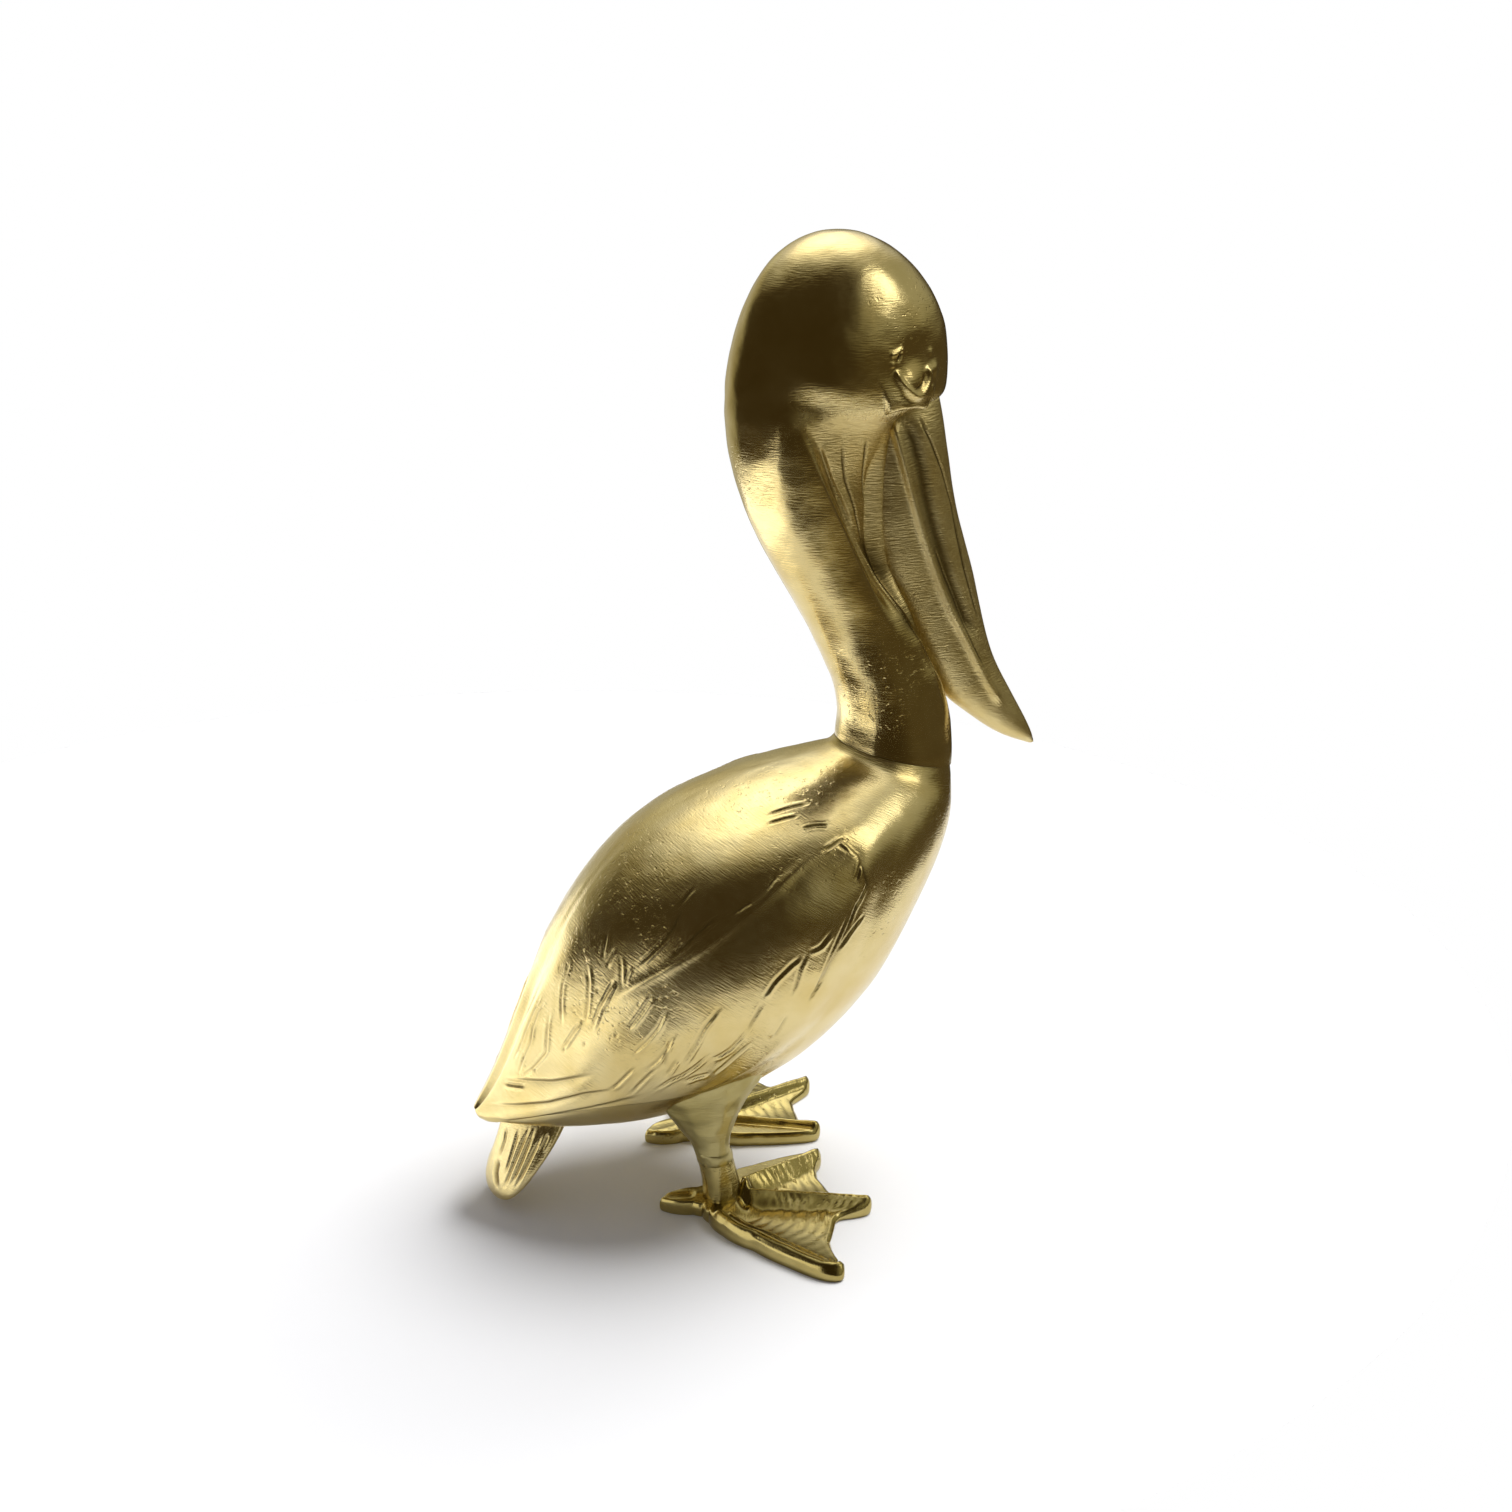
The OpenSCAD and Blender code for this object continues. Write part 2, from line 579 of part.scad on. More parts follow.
module foot(side) {
    difference() {
        at_leg(side) mirror([0, side == left ? 1 : 0, 0]) rotate([0, 0, -turn_out]) foot_blank();
        at_leg(side) translate([0, 0, ankle_z - tenon_depth - fit])
            cylinder(d = tenon_d + 2 * fit, h = tenon_depth + 2 * fit);
    }
}
module right_foot() { color(olive_gold) foot(right); }
module left_foot() { color(olive_gold) foot(left); }

body_right_shell();
body_left_shell();
neck_right_shell();
neck_left_shell();
neck_sleeve();
bill();
bill_pins();
tail_fan();
tail_pins();
body_seam_dowels();
neck_seam_dowels();
right_thigh();
left_thigh();
right_leg_ring();
left_leg_ring();
leg_dowels();
right_shank();
left_shank();
right_foot();
left_foot();
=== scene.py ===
import math

import bpy
import numpy as np
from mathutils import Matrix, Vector, noise
from mathutils.bvhtree import BVHTree


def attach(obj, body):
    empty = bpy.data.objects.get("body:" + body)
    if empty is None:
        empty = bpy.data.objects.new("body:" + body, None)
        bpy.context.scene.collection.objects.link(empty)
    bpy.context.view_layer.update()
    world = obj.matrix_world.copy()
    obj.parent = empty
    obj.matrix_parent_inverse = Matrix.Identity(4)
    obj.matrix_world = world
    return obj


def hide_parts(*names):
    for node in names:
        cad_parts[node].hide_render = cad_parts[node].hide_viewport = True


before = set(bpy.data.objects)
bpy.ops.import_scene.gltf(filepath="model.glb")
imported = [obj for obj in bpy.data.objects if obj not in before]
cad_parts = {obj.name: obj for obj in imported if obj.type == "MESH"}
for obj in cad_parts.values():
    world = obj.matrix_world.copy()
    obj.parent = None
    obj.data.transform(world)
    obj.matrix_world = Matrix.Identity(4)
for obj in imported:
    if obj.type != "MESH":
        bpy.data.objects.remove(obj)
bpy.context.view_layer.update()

# Lengths below are in millimetres: +X forward, +Y to the bird's left, +Z up, soles at z = 0
MM = 0.001
RIGHT = -1
LEFT = 1
SIDES = ((RIGHT, "right"), (LEFT, "left"))

# The photograph's camera
PHOTO = 1512
EYE = np.array([-154.1, -537.6, 317.5])
HEADING = 16.0
PITCH = 18.38
FOCAL = 2042.0
SENSOR = 36.0

# Ribs of the body from the neck joint to the wing tips, in the mid-plane:
# back x, back z, front x, front z, half-width, wing top angle, wing low angle, wing lift
BODY_RIBS = [
    (24.5, 135, 59, 126, 17, 56, 84, 0),
    (23, 133, 59.2, 121, 18.6, 54, 84, 0),
    (19, 132, 59, 115, 23, 52, 84, 0),
    (9, 130, 56, 104, 30, 46, 84, 0.2),
    (-5, 127, 50, 92, 36.5, 38, 90, 1),
    (-20, 121.5, 43.5, 79, 41, 29, 99, 1),
    (-34, 114, 36, 66, 43, 21, 106, 1),
    (-46, 103, 26, 53.5, 42.5, 12, 112, 1),
    (-56, 89, 13, 42, 39.5, 6, 116, 1),
    (-64, 73, -3, 33.5, 35, 3, 113, 1),
    (-70, 58, -20, 27.5, 29, 3, 93, 1),
    (-75.5, 45, -38, 25.5, 23, 3, 74, 1),
    (-80, 36, -56, 26, 16, 3, 62, 1),
    (-84, 31, -72, 28, 9, 3, 60, 0.7),
    (-85.5, 30, -80, 28.5, 4, 3, 60, 0.4),
]
# Ribs of the head and neck from the crown to the joint: back x, back z, front x, front z, half-width
NECK_RIBS = [
    (22.95, 279, 23.05, 279, 0.04),
    (19.2, 278.7, 26.8, 278.7, 2.9),
    (16, 278, 30, 278, 5.3),
    (10, 275.5, 36, 275.5, 10),
    (3.5, 270, 43.5, 270, 15.5),
    (-2.5, 260, 51, 260, 20),
    (-6, 250, 54.3, 250, 22),
    (-8, 240, 54.5, 240, 22.5),
    (-8.2, 235, 53.8, 234, 22.3),
    (-8.2, 231, 43, 230.5, 21.8),
    (-8, 227, 38.5, 227, 21.2),
    (-7.5, 220, 37.5, 220, 20.2),
    (-5, 210, 37, 210, 18.6),
    (-1.5, 200, 37, 200, 17.2),
    (4, 190, 38, 190, 16),
    (9.5, 180, 41.5, 180, 15),
    (15, 170, 45.5, 170, 14),
    (20, 160, 49.5, 159.5, 14),
    (24.5, 150, 56, 148, 14.5),
    (25.5, 142, 59, 138, 15.5),
    (24.5, 135, 59.5, 126, 17),
]
# Ribs of the bill from the root to the tip: rear x, rear z, front x, front z, half-width
BILL_RIBS = [
    (32, 231.5, 53, 233, 7.5),
    (31, 223, 54.8, 224, 9.2),
    (31, 212, 56.5, 214, 8.9),
    (31.5, 200, 58.7, 203, 8.4),
    (33.5, 190, 61.5, 193, 7.9),
    (39, 178, 65.3, 181, 7.4),
    (45, 165, 68.3, 168, 7),
    (51.5, 154, 72.3, 156, 6.6),
    (58, 145, 77.8, 146, 6.2),
    (66, 138.5, 82.3, 138, 5.5),
    (75.5, 132, 85.5, 132, 4),
    (85, 128.3, 86.6, 128.7, 1),
]
# Ribs of the tail fan: rear x, rear z, front x, front z, half-width
TAIL_RIBS = [
    (-77, 33, -55, 31, 8),
    (-78, 27, -59, 25, 10),
    (-79.5, 21, -63, 19.5, 11.8),
    (-82, 14, -70, 11.5, 13),
    (-83.5, 8.5, -76, 5.5, 12),
    (-83, 4.5, -80, 3.5, 7),
    (-82, 3, -81.5, 3, 2),
]
STEPS_PER_RIB = 40

# Lines drawn over the photograph: spacing of their points in pixels, fewest points, rounds of smoothing,
# and how far from the mid-plane they have to lie
TRACE_SPACING = 1.5
TRACE_FEWEST = 6
TRACE_ROUNDS = 3
TRACE_CLEAR = 1.0

# The castings sink a little towards the joint of neck and body
JOINT_DEPTH = 0.15
JOINT_REACH = 1.5


def view_axes():
    """Right, up and forward directions of the photograph's camera"""
    heading = math.radians(HEADING)
    pitch = math.radians(PITCH)
    right = np.array([math.cos(heading), -math.sin(heading), 0.0])
    level = np.array([math.sin(heading), math.cos(heading), 0.0])
    forward = level * math.cos(pitch) - np.array([0.0, 0.0, math.sin(pitch)])
    return right, np.cross(right, forward), forward


def pixel_ray(x, y):
    """Direction from the eye through a pixel of the photograph"""
    right, up, forward = view_axes()
    ray = forward + right * (x - PHOTO / 2) / FOCAL - up * (y - PHOTO / 2) / FOCAL
    return ray / np.linalg.norm(ray)


def towards(turn, rise):
    """Direction by its turn from the way to the camera, counted to the camera's right, and its rise"""
    right, _, forward = view_axes()
    level = np.array([forward[0], forward[1], 0.0])
    level /= np.linalg.norm(level)
    turn = math.radians(turn)
    rise = math.radians(rise)
    flat = math.sin(turn) * right - math.cos(turn) * level
    return Vector(math.cos(rise) * flat + np.array([0, 0, math.sin(rise)]))


def between(low, high, x):
    """Smooth rise from 0 at low to 1 at high"""
    t = np.clip((x - low) / (high - low), 0, 1)
    return t * t * (3 - 2 * t)


def hump(x, width=1.0):
    """Bell curve: 1 at zero, fading over the width"""
    return np.exp(-((x / width) ** 2))


def fading(share, ends):
    """Fade towards both ends of a line"""
    return between(0, ends, share) * between(0, ends, 1 - share)


def travelled(points, axis=0):
    """Distance along rows of points, from the first point of each"""
    first = np.take(points, [0], axis)
    return np.cumsum(np.linalg.norm(np.diff(points, axis=axis, prepend=first), axis=-1), axis)


def dense_ribs(ribs, steps, blur):
    """Ribs joined by a cubic that never overshoots, then blurred so that reflections run smoothly"""
    p = np.asarray(ribs, float)
    d = np.diff(p, axis=0)
    a, b = d[:-1], d[1:]
    same = a * b > 0
    inner = np.where(same, 2 * a * b / np.where(same, a + b, 1), 0)
    slope = np.vstack([d[:1], inner, d[-1:]])
    u = np.linspace(0, len(p) - 1, steps * (len(p) - 1) + 1)
    i = np.minimum(u.astype(int), len(p) - 2)
    t = (u - i)[:, None]
    rows = (p[i] * (2 * t**3 - 3 * t**2 + 1) + slope[i] * (t**3 - 2 * t**2 + t)
            + p[i + 1] * (3 * t**2 - 2 * t**3) + slope[i + 1] * (t**3 - t**2))
    reach = int(3 * blur * steps)
    weight = np.exp(-0.5 * (np.arange(-reach, reach + 1) / (blur * steps)) ** 2)
    weight /= weight.sum()
    head = 2 * rows[0] - rows[reach:0:-1]
    tail = 2 * rows[-1] - rows[-2:-2 - reach:-1]
    padded = np.vstack([head, rows, tail])
    smooth = np.stack([np.convolve(padded[:, c], weight, "valid") for c in range(p.shape[1])], 1)
    return u, smooth


def even_rows(u, rows, count):
    """Rows spaced evenly along the casting"""
    step = np.diff(rows[:, :4], axis=0)
    length = np.hypot(step[:, 0], step[:, 1]) + np.hypot(step[:, 2], step[:, 3])
    travel = np.concatenate([[0], np.cumsum(length)])
    at = np.linspace(0, travel[-1], count)
    picked = np.stack([np.interp(at, travel, rows[:, c]) for c in range(rows.shape[1])], 1)
    return np.interp(at, travel, u), picked


def grid_normals(points):
    """Outward normals of a right-hand half grid"""
    along = np.gradient(points, axis=0)
    around = np.gradient(points, axis=1)
    normal = np.cross(along, around)
    return normal / np.maximum(np.linalg.norm(normal, axis=2, keepdims=True), 1e-9)


def grid_faces(rows, cols):
    """Quads of a grid, wound to face outwards on the bird's right"""
    i, j = np.meshgrid(np.arange(rows - 1), np.arange(cols - 1), indexing="ij")
    a = (i * cols + j).ravel()
    return np.stack([a, a + cols, a + cols + 1, a + 1], 1)


def ring_faces(rows, cols):
    """Quads between closed rings of points, one ring after the other"""
    i, j = np.meshgrid(np.arange(rows - 1), np.arange(cols), indexing="ij")
    a = (i * cols + j).ravel()
    b = (i * cols + (j + 1) % cols).ravel()
    return np.stack([a, a + cols, b + cols, b], 1)


def end_face(rows, cols):
    """Face over the last row of a grid or the last of its rings"""
    return tuple(range(rows * cols - 1, (rows - 1) * cols - 1, -1))


class Casting:
    """Right half of a casting: a grid from rib to rib and from back (0) to front (180 degrees)"""

    def __init__(self, ribs, rows, cols, blur=0.35, square=1.0, fuzz=0.2):
        self.u, self.ribs = even_rows(*dense_ribs(ribs, STEPS_PER_RIB, blur), rows)
        self.phi = np.linspace(0, 180, cols)
        angle = np.radians(self.phi)
        middle = (self.ribs[:, 0:2] + self.ribs[:, 2:4]) / 2
        half = (self.ribs[:, 2:4] - self.ribs[:, 0:2]) / 2
        xz = middle[:, None] - half[:, None] * np.cos(angle)[None, :, None]
        y = -self.ribs[:, 4][:, None] * np.abs(np.sin(angle))[None] ** square
        self.base = np.stack([xz[..., 0], y, xz[..., 1]], -1)
        # Painted shade in grooves, pits and hollows, from 0 to 1
        self.groove = np.zeros((rows, cols))
        along = travelled(self.base, 0)
        around = travelled(self.base, 1)
        self.brush = np.stack([along.mean(1)[:, None] + 0 * along, around, 0 * around + fuzz], -1)
        self.faces = grid_faces(rows, cols)
        self.settle(np.zeros((rows, cols)))

    def settle(self, lift):
        """Raise the surface; lines and marks are then laid on it"""
        self.base = self.base + grid_normals(self.base) * lift[..., None]
        self.normal = grid_normals(self.base)
        self.height = np.zeros(lift.shape)
        self.tree = BVHTree.FromPolygons(self.base.reshape(-1, 3).tolist(), self.faces.tolist())

    def trace(self, pixels):
        """Points on the surface under a line drawn over the photograph"""
        p = np.asarray(pixels, float)
        travel = travelled(p)
        at = np.linspace(0, travel[-1], max(int(travel[-1] / TRACE_SPACING), TRACE_FEWEST))
        line = []
        for x, y in zip(np.interp(at, travel, p[:, 0]), np.interp(at, travel, p[:, 1])):
            ray = Vector(pixel_ray(x, y))
            hit, normal = self.tree.ray_cast(Vector(EYE), ray)[:2]
            if hit is not None and normal.dot(ray) < 0 and hit.y < -TRACE_CLEAR:
                line.append(hit)
        line = np.array(line)
        for _ in range(TRACE_ROUNDS):
            line[1:-1] = (line[:-2] + 2 * line[1:-1] + line[2:]) / 4
        return line

    def near(self, line, reach):
        """Grid points near a line: their index, distance across it and share along it"""
        flat = self.base.reshape(-1, 3)
        inside = (flat > line.min(0) - reach) & (flat < line.max(0) + reach)
        picked = np.flatnonzero(inside.all(1))
        gaps = flat[picked, None] - line[None]
        distance = np.linalg.norm(gaps, axis=2)
        nearest = distance.argmin(1)
        gap = gaps[np.arange(len(picked)), nearest]
        tangent = np.gradient(line, axis=0)
        tangent /= np.linalg.norm(tangent, axis=1, keepdims=True)
        side = np.cross(self.normal.reshape(-1, 3)[picked], tangent[nearest])
        across = (gap * side).sum(1)
        ahead = np.abs((gap * tangent[nearest]).sum(1))
        close = (distance.min(1) < reach) & (ahead < reach / 2)
        return picked[close], across[close], nearest[close] / (len(line) - 1)

    def carve(self, picked, lift, dark):
        """Raise or sink grid points and paint shade into them"""
        self.height.ravel()[picked] += lift
        self.groove.ravel()[picked] = np.maximum(self.groove.ravel()[picked], dark)

    def stroke(self, pixels, width, depth, lip, far_lip, dark, ends=0.25):
        """Chased line: a groove with a burr on the left of the drawn line and another on its right"""
        picked, across, share = self.near(self.trace(pixels), 5 * width + 0.5)
        taper = fading(share, ends)
        s = across / width
        shape = -hump(s) + lip * hump(s - 1.8) + far_lip * hump(s + 1.8)
        # The groove's middle gets painted shade
        self.carve(picked, depth * taper * shape, dark * taper * hump(s))

    def ridge(self, pixels, width, lift, ends=0.2):
        """Raised line"""
        picked, across, share = self.near(self.trace(pixels), 4 * width)
        self.carve(picked, lift * fading(share, ends) * hump(across, width), 0)

    def step(self, pixels, lift, edge, fade, drop, dark, ends=0.15):
        """Overlapping edge: the right of the drawn line stands above its left"""
        picked, across, share = self.near(self.trace(pixels), 2.2 * fade)
        taper = fading(share, ends)
        high = lift * hump(np.minimum(across, 0), fade)
        low = -drop * hump(np.maximum(across, 0), fade / 3)
        rise = between(-edge, edge, -across)
        foot = hump(across - edge, 1.5 * edge)
        # The foot of the step gets painted shade
        self.carve(picked, taper * (high * rise + low * (1 - rise)), dark * taper * foot)

    def dent(self, pixel, radius, depth, dark=0.0):
        """Round hollow, or a bulge where the depth is negative"""
        hit = np.array(self.tree.ray_cast(Vector(EYE), Vector(pixel_ray(*pixel)))[0])
        fall = hump(np.linalg.norm(self.base - hit, axis=2), radius)
        self.height -= depth * fall
        # Painted shade in the hollow, as dark as asked
        self.groove = np.maximum(self.groove, dark * fall)

    def waver(self, size, lift, seed):
        """Hand-finished unevenness"""
        shift = Vector((seed, 2 * seed, 3 * seed))
        flat = self.base.reshape(-1, 3) / size
        bumps = np.array([noise.noise(Vector(p) + shift) for p in flat])
        self.height += lift * bumps.reshape(self.height.shape)

    def sink_joint(self, rows):
        """Sink the surface towards its joint, where the given slice of rows starts"""
        away = travelled(self.base[rows, len(self.phi) // 2])
        self.height[rows] -= JOINT_DEPTH * hump(away, JOINT_REACH)[:, None]

    def seen(self):
        """Pixel of the photograph under each point, and how squarely the point faces the camera"""
        right, up, forward = view_axes()
        away = self.base - EYE
        depth = away @ forward
        x = PHOTO / 2 + FOCAL * (away @ right) / depth
        y = PHOTO / 2 - FOCAL * (away @ up) / depth
        facing = -(away * self.normal).sum(2) / np.linalg.norm(away, axis=2)
        return x, y, facing

    def points(self, side):
        """Finished surface on one side of the bird"""
        p = self.base + self.normal * self.height[..., None]
        p[:, 0, 1] = 0
        p[:, -1, 1] = 0
        p[..., 1] *= -side
        return p


def add_mesh(name, points, faces, groove, brush, material):
    """Smooth mesh object in metres; its painted groove shade and its brushing are attributes

    The brushing holds the way along the piece, the way around it and how coarse the brush marks are
    """
    mesh = bpy.data.meshes.new(name)
    mesh.from_pydata((np.asarray(points).reshape(-1, 3) * MM).tolist(), [], [tuple(f) for f in faces])
    mesh.attributes.new("groove", "FLOAT", "POINT").data.foreach_set(
        "value", np.asarray(groove, np.float32).ravel())
    mesh.attributes.new("brush", "FLOAT_VECTOR", "POINT").data.foreach_set(
        "vector", np.asarray(brush, np.float32).ravel())
    mesh.polygons.foreach_set("use_smooth", [True] * len(mesh.polygons))
    mesh.materials.append(material)
    mesh.update()
    piece = bpy.data.objects.new(name, mesh)
    bpy.context.scene.collection.objects.link(piece)
    return piece


def place(piece, slot, *nodes):
    """The piece joins the root and stands for its CAD nodes, which are hidden; the slot is not used"""
    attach(piece, "root")
    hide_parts(*nodes)


def half_piece(name, casting, side, material, closed):
    """Mesh of one half of a casting, closed at its last rib if asked"""
    faces = [tuple(f) for f in casting.faces]
    if closed:
        faces.append(end_face(*casting.groove.shape))
    if side == LEFT:
        faces = [f[::-1] for f in faces]
    return add_mesh(name, casting.points(side), faces, casting.groove, casting.brush, material)


def whole_piece(name, casting, material):
    """Mesh of both halves of a casting, welded in the mid-plane, with closed ends"""
    other = np.s_[:, -2:0:-1]
    points = np.concatenate([casting.points(RIGHT), casting.points(LEFT)[other]], 1)
    groove = np.concatenate([casting.groove, casting.groove[other]], 1)
    brush = np.concatenate([casting.brush, casting.brush[other]], 1)
    rows, cols = groove.shape
    faces = [*ring_faces(rows, cols), tuple(range(cols)), end_face(rows, cols)]
    return add_mesh(name, points, faces, groove, brush, material)


# Lines of the chasing, in pixels of the photograph
WING_SHAFT = [
    (828, 847), (801, 866), (766, 899), (730, 929), (694, 954), (659, 974), (623, 993), (598, 1011),
]
WING_FRONT = [(838, 838), (858, 856), (866, 884), (856, 905), (842, 935), (826, 968), (812, 995)]
COVERTS = [
    [(718, 916), (700, 932), (684, 946), (666, 960)],
    [(683, 908), (674, 928), (662, 942), (648, 956), (634, 968)],
    [(752, 902), (741, 909), (732, 915)],
    [(630, 966), (626, 976), (624, 985)],
    [(621, 957), (621, 972), (621, 988)],
    [(615, 948), (610, 958), (606, 967)],
    [(608, 932), (605, 946), (602, 958)],
    [(776, 877), (771, 884), (767, 891)],
    [(694, 888), (687, 897), (680, 906)],
]
SHOULDER = [
    [(766, 815), (790, 808), (812, 803)],
    [(766, 824), (785, 819), (801, 816)],
    [(801, 829), (816, 826), (830, 826)],
    [(823, 852), (834, 845), (844, 838)],
    [(837, 845), (843, 848), (848, 852)],
    [(859, 863), (858, 872), (855, 881)],
    [(867, 884), (860, 900), (851, 915)],
    [(857, 899), (853, 913), (848, 927)],
    [(850, 909), (841, 929), (832, 949), (822, 973), (814, 995)],
    [(866, 913), (851, 932), (837, 952)],
]
FLIGHT = [
    [(652, 996), (642, 1012), (628, 1030)],
    [(666, 1010), (658, 1028), (646, 1042), (630, 1056)],
    [(675, 1032), (668, 1046), (658, 1060), (642, 1074)],
    [(721, 1005), (712, 1018), (704, 1028), (696, 1044), (686, 1060), (678, 1070)],
    [(677, 1059), (670, 1070), (666, 1076)],
    [(747, 1030), (740, 1040), (730, 1050), (720, 1056), (710, 1060)],
    [(776, 980), (770, 988), (764, 998)],
    [(802, 956), (792, 964), (780, 976), (770, 986)],
    [(806, 954), (800, 968), (796, 984), (791, 998)],
    [(832, 930), (820, 946), (808, 952)],
    [(772, 1040), (780, 1028), (788, 1014)],
    [(710, 1074), (696, 1077), (684, 1082)],
]
CUTS = [
    [(670, 1040), (666, 1054), (664, 1066)],
    [(656, 1066), (648, 1076), (636, 1088), (630, 1096)],
    [(636, 1066), (626, 1076), (616, 1086), (608, 1090)],
    [(762, 1003), (758, 1012), (752, 1022), (747, 1033)],
    [(754, 1040), (740, 1052), (724, 1066), (712, 1076)],
    [(710, 1054), (696, 1066), (684, 1074), (670, 1080), (652, 1092)],
    [(824, 978), (816, 990), (808, 1003)],
    [(527, 1086), (515, 1085), (504, 1083)],
]
REAR_FAN = [
    [(570, 960), (568, 970), (563, 983), (561, 999), (561, 1010), (561, 1026)],
    [(587, 964), (589, 980), (588, 999), (586, 1016), (583, 1024)],
    [(615, 978), (607, 991), (599, 1007), (594, 1021), (590, 1031)],
    [(581, 1020), (570, 1036), (561, 1050)],
    [(547, 997), (539, 1010), (533, 1027), (531, 1041), (524, 1057), (519, 1076)],
    [(542, 992), (536, 1006), (529, 1023), (522, 1042), (514, 1060)],
    [(550, 1010), (547, 1030), (546, 1051), (533, 1067), (520, 1077)],
    [(615, 979), (606, 996), (601, 1006)],
]
# Casting pores, dented and darkened with painted shade
PITS = [
    (524, 1057), (536, 1007), (564, 1049), (581, 1021), (584, 1044), (597, 990), (616, 1035),
    (536, 1070),
]
PRIMARIES = [
    [(603, 1070), (577, 1076), (553, 1080), (522, 1079), (493, 1076)],
    [(625, 1086), (613, 1089), (584, 1092), (549, 1101), (518, 1104), (484, 1103)],
    [(651, 1092), (637, 1096), (603, 1104), (565, 1111), (532, 1117), (506, 1120), (480, 1116)],
]
EYE_RIM = [
    (895, 370), (899, 380), (905, 389), (912, 395), (919, 394), (924, 388), (928, 380), (929, 372),
    (926, 366),
]
EYE_LID = [(890, 357), (897, 353), (904, 349)]
EYE_SLIT = [(902, 351), (900, 356), (898, 362)]
EYE_FOLD = [(911, 389), (918, 387), (923, 381), (924, 374)]
EYE_SHADE = [(897, 391), (905, 400), (916, 402), (926, 399), (933, 392)]
BROW = [(944, 406), (935, 406), (925, 407), (910, 407), (897, 409), (885, 414)]
CHEEK = [(774, 384), (798, 396), (824, 408), (852, 416), (880, 414), (900, 409)]
NECK_FACET = [(845, 630), (872, 680), (895, 730), (904, 762)]
PLEATS = [
    [(850, 441), (854, 468), (858, 486), (865, 502), (874, 525), (883, 550)],
    [(873, 438), (877, 460), (881, 484), (883, 504)],
]
POUCH_EDGE = [(822, 446), (840, 484), (849, 499), (860, 518), (867, 532)]
# Painted shade and reflection: a dark strip between the pouch's pleats and the bill
WEDGE_SHADE_LINE = [(874, 530), (884, 553), (893, 577), (902, 598), (911, 620), (920, 642)]
FLASH = [(867, 534), (888, 577), (904, 609), (920, 641), (935, 673), (947, 695)]
CULMEN = [(917, 414), (931, 441), (942, 470), (951, 502), (957, 536), (964, 568), (970, 589), (979, 622)]
MOUTH = [
    (892, 417), (901, 450), (908, 477), (916, 509), (923, 534), (933, 564), (942, 589), (951, 611),
    (962, 632), (974, 657), (986, 680), (1002, 706),
]
BILL_HOLLOW = [
    (903, 415), (914, 442), (922, 470), (928, 500), (936, 530), (950, 578), (962, 608), (976, 640),
]
MOUTH_CUT = [(934, 545), (943, 570), (954, 596), (963, 622), (972, 645), (984, 668)]
TAIL_GROOVES = [
    [(507, 1126), (505, 1140), (499, 1157)],
    [(520, 1126), (515, 1143), (509, 1163), (504, 1177)],
    [(531, 1126), (523, 1142), (513, 1165), (506, 1183), (501, 1192)],
    [(536, 1126), (529, 1142), (520, 1165), (510, 1188)],
    [(542, 1135), (532, 1155), (522, 1175), (513, 1190)],
    [(549, 1133), (545, 1143), (540, 1152)],
]
TAIL_GOUGE = [(499, 1158), (496, 1172), (497, 1190)]

# Cuts of the chisel: width and depth, burrs as shares of the depth, painted shade in the cut from 0 to 1
COVERT_CUT = dict(width=0.45, depth=0.25, lip=1.2, far_lip=0.4, dark=0.3)
SHOULDER_CUT = dict(width=0.45, depth=0.35, lip=0.9, far_lip=0.4, dark=0.5)
FLIGHT_CUT = dict(width=0.5, depth=0.27, lip=1.5, far_lip=0.3, dark=0.3)
SHARP_CUT = dict(width=0.45, depth=0.35, lip=0.8, far_lip=0.4, dark=0.5)
SLIT_CUT = dict(width=0.45, depth=0.5, lip=0.2, far_lip=0.2, dark=1.0)
FOLD_CUT = dict(width=0.4, depth=0.4, lip=0.2, far_lip=0.2, dark=0.9)
SHADE_CUT = dict(width=1.0, depth=0.5, lip=0, far_lip=0, dark=0.4)
PLEAT_CUT = dict(width=0.5, depth=0.4, lip=0, far_lip=0, dark=0.9)
WEDGE_SHADE_CUT = dict(width=2.8, depth=0.3, lip=0, far_lip=0, dark=0.9, ends=0.2)
HOLLOW_CUT = dict(width=1.9, depth=1.1, lip=0, far_lip=0, dark=0.85, ends=0.1)
CULMEN_CUT = dict(width=0.4, depth=0.4, lip=0.4, far_lip=0.3, dark=0.9, ends=0.1)
LIP_CUT = dict(width=0.35, depth=0.4, lip=0.2, far_lip=0.2, dark=0.9, ends=0.1)
TAIL_CUT = dict(width=0.5, depth=0.35, lip=0.5, far_lip=0.5, dark=0.5)
GOUGE_CUT = dict(width=0.9, depth=0.5, lip=0.3, far_lip=0.3, dark=0.9)
FEATHERS = (
    (COVERTS, COVERT_CUT), (SHOULDER, SHOULDER_CUT), (FLIGHT, FLIGHT_CUT), (CUTS, SHARP_CUT),
    (REAR_FAN, FLIGHT_CUT),
)
# Hollows and bulges around the eye: pixel of the photograph, radius and depth
EYE_DENTS = [
    ((916, 356), 4.5, 0.8), ((911, 381), 3.2, -1.0), ((934, 369), 2.0, -0.8), ((932, 387), 1.1, -0.5),
    ((931, 352), 0.9, -0.4), ((893, 365), 0.8, -0.4),
]
# Unevenness of the castings: size, height and seed
BODY_WAVERS = ((22, 0.35, 1.0), (6, 0.1, 2.0), (2.6, 0.02, 6.0))
NECK_WAVERS = ((20, 0.3, 3.0), (6, 0.12, 4.0), (2.6, 0.03, 7.0))
BILL_WAVER = (9, 0.12, 5.0)
WING_LIFT = 1.7
SEAM_REACH = 3
FACET_LIFT = 2.4
CHEEK_OVERHANG = 3.8
POUCH_SWELL = 0.8
POUCH_DEPTH = 6.3
POUCH_FUZZ = 0.7
CHEEK_FUZZ = 0.3


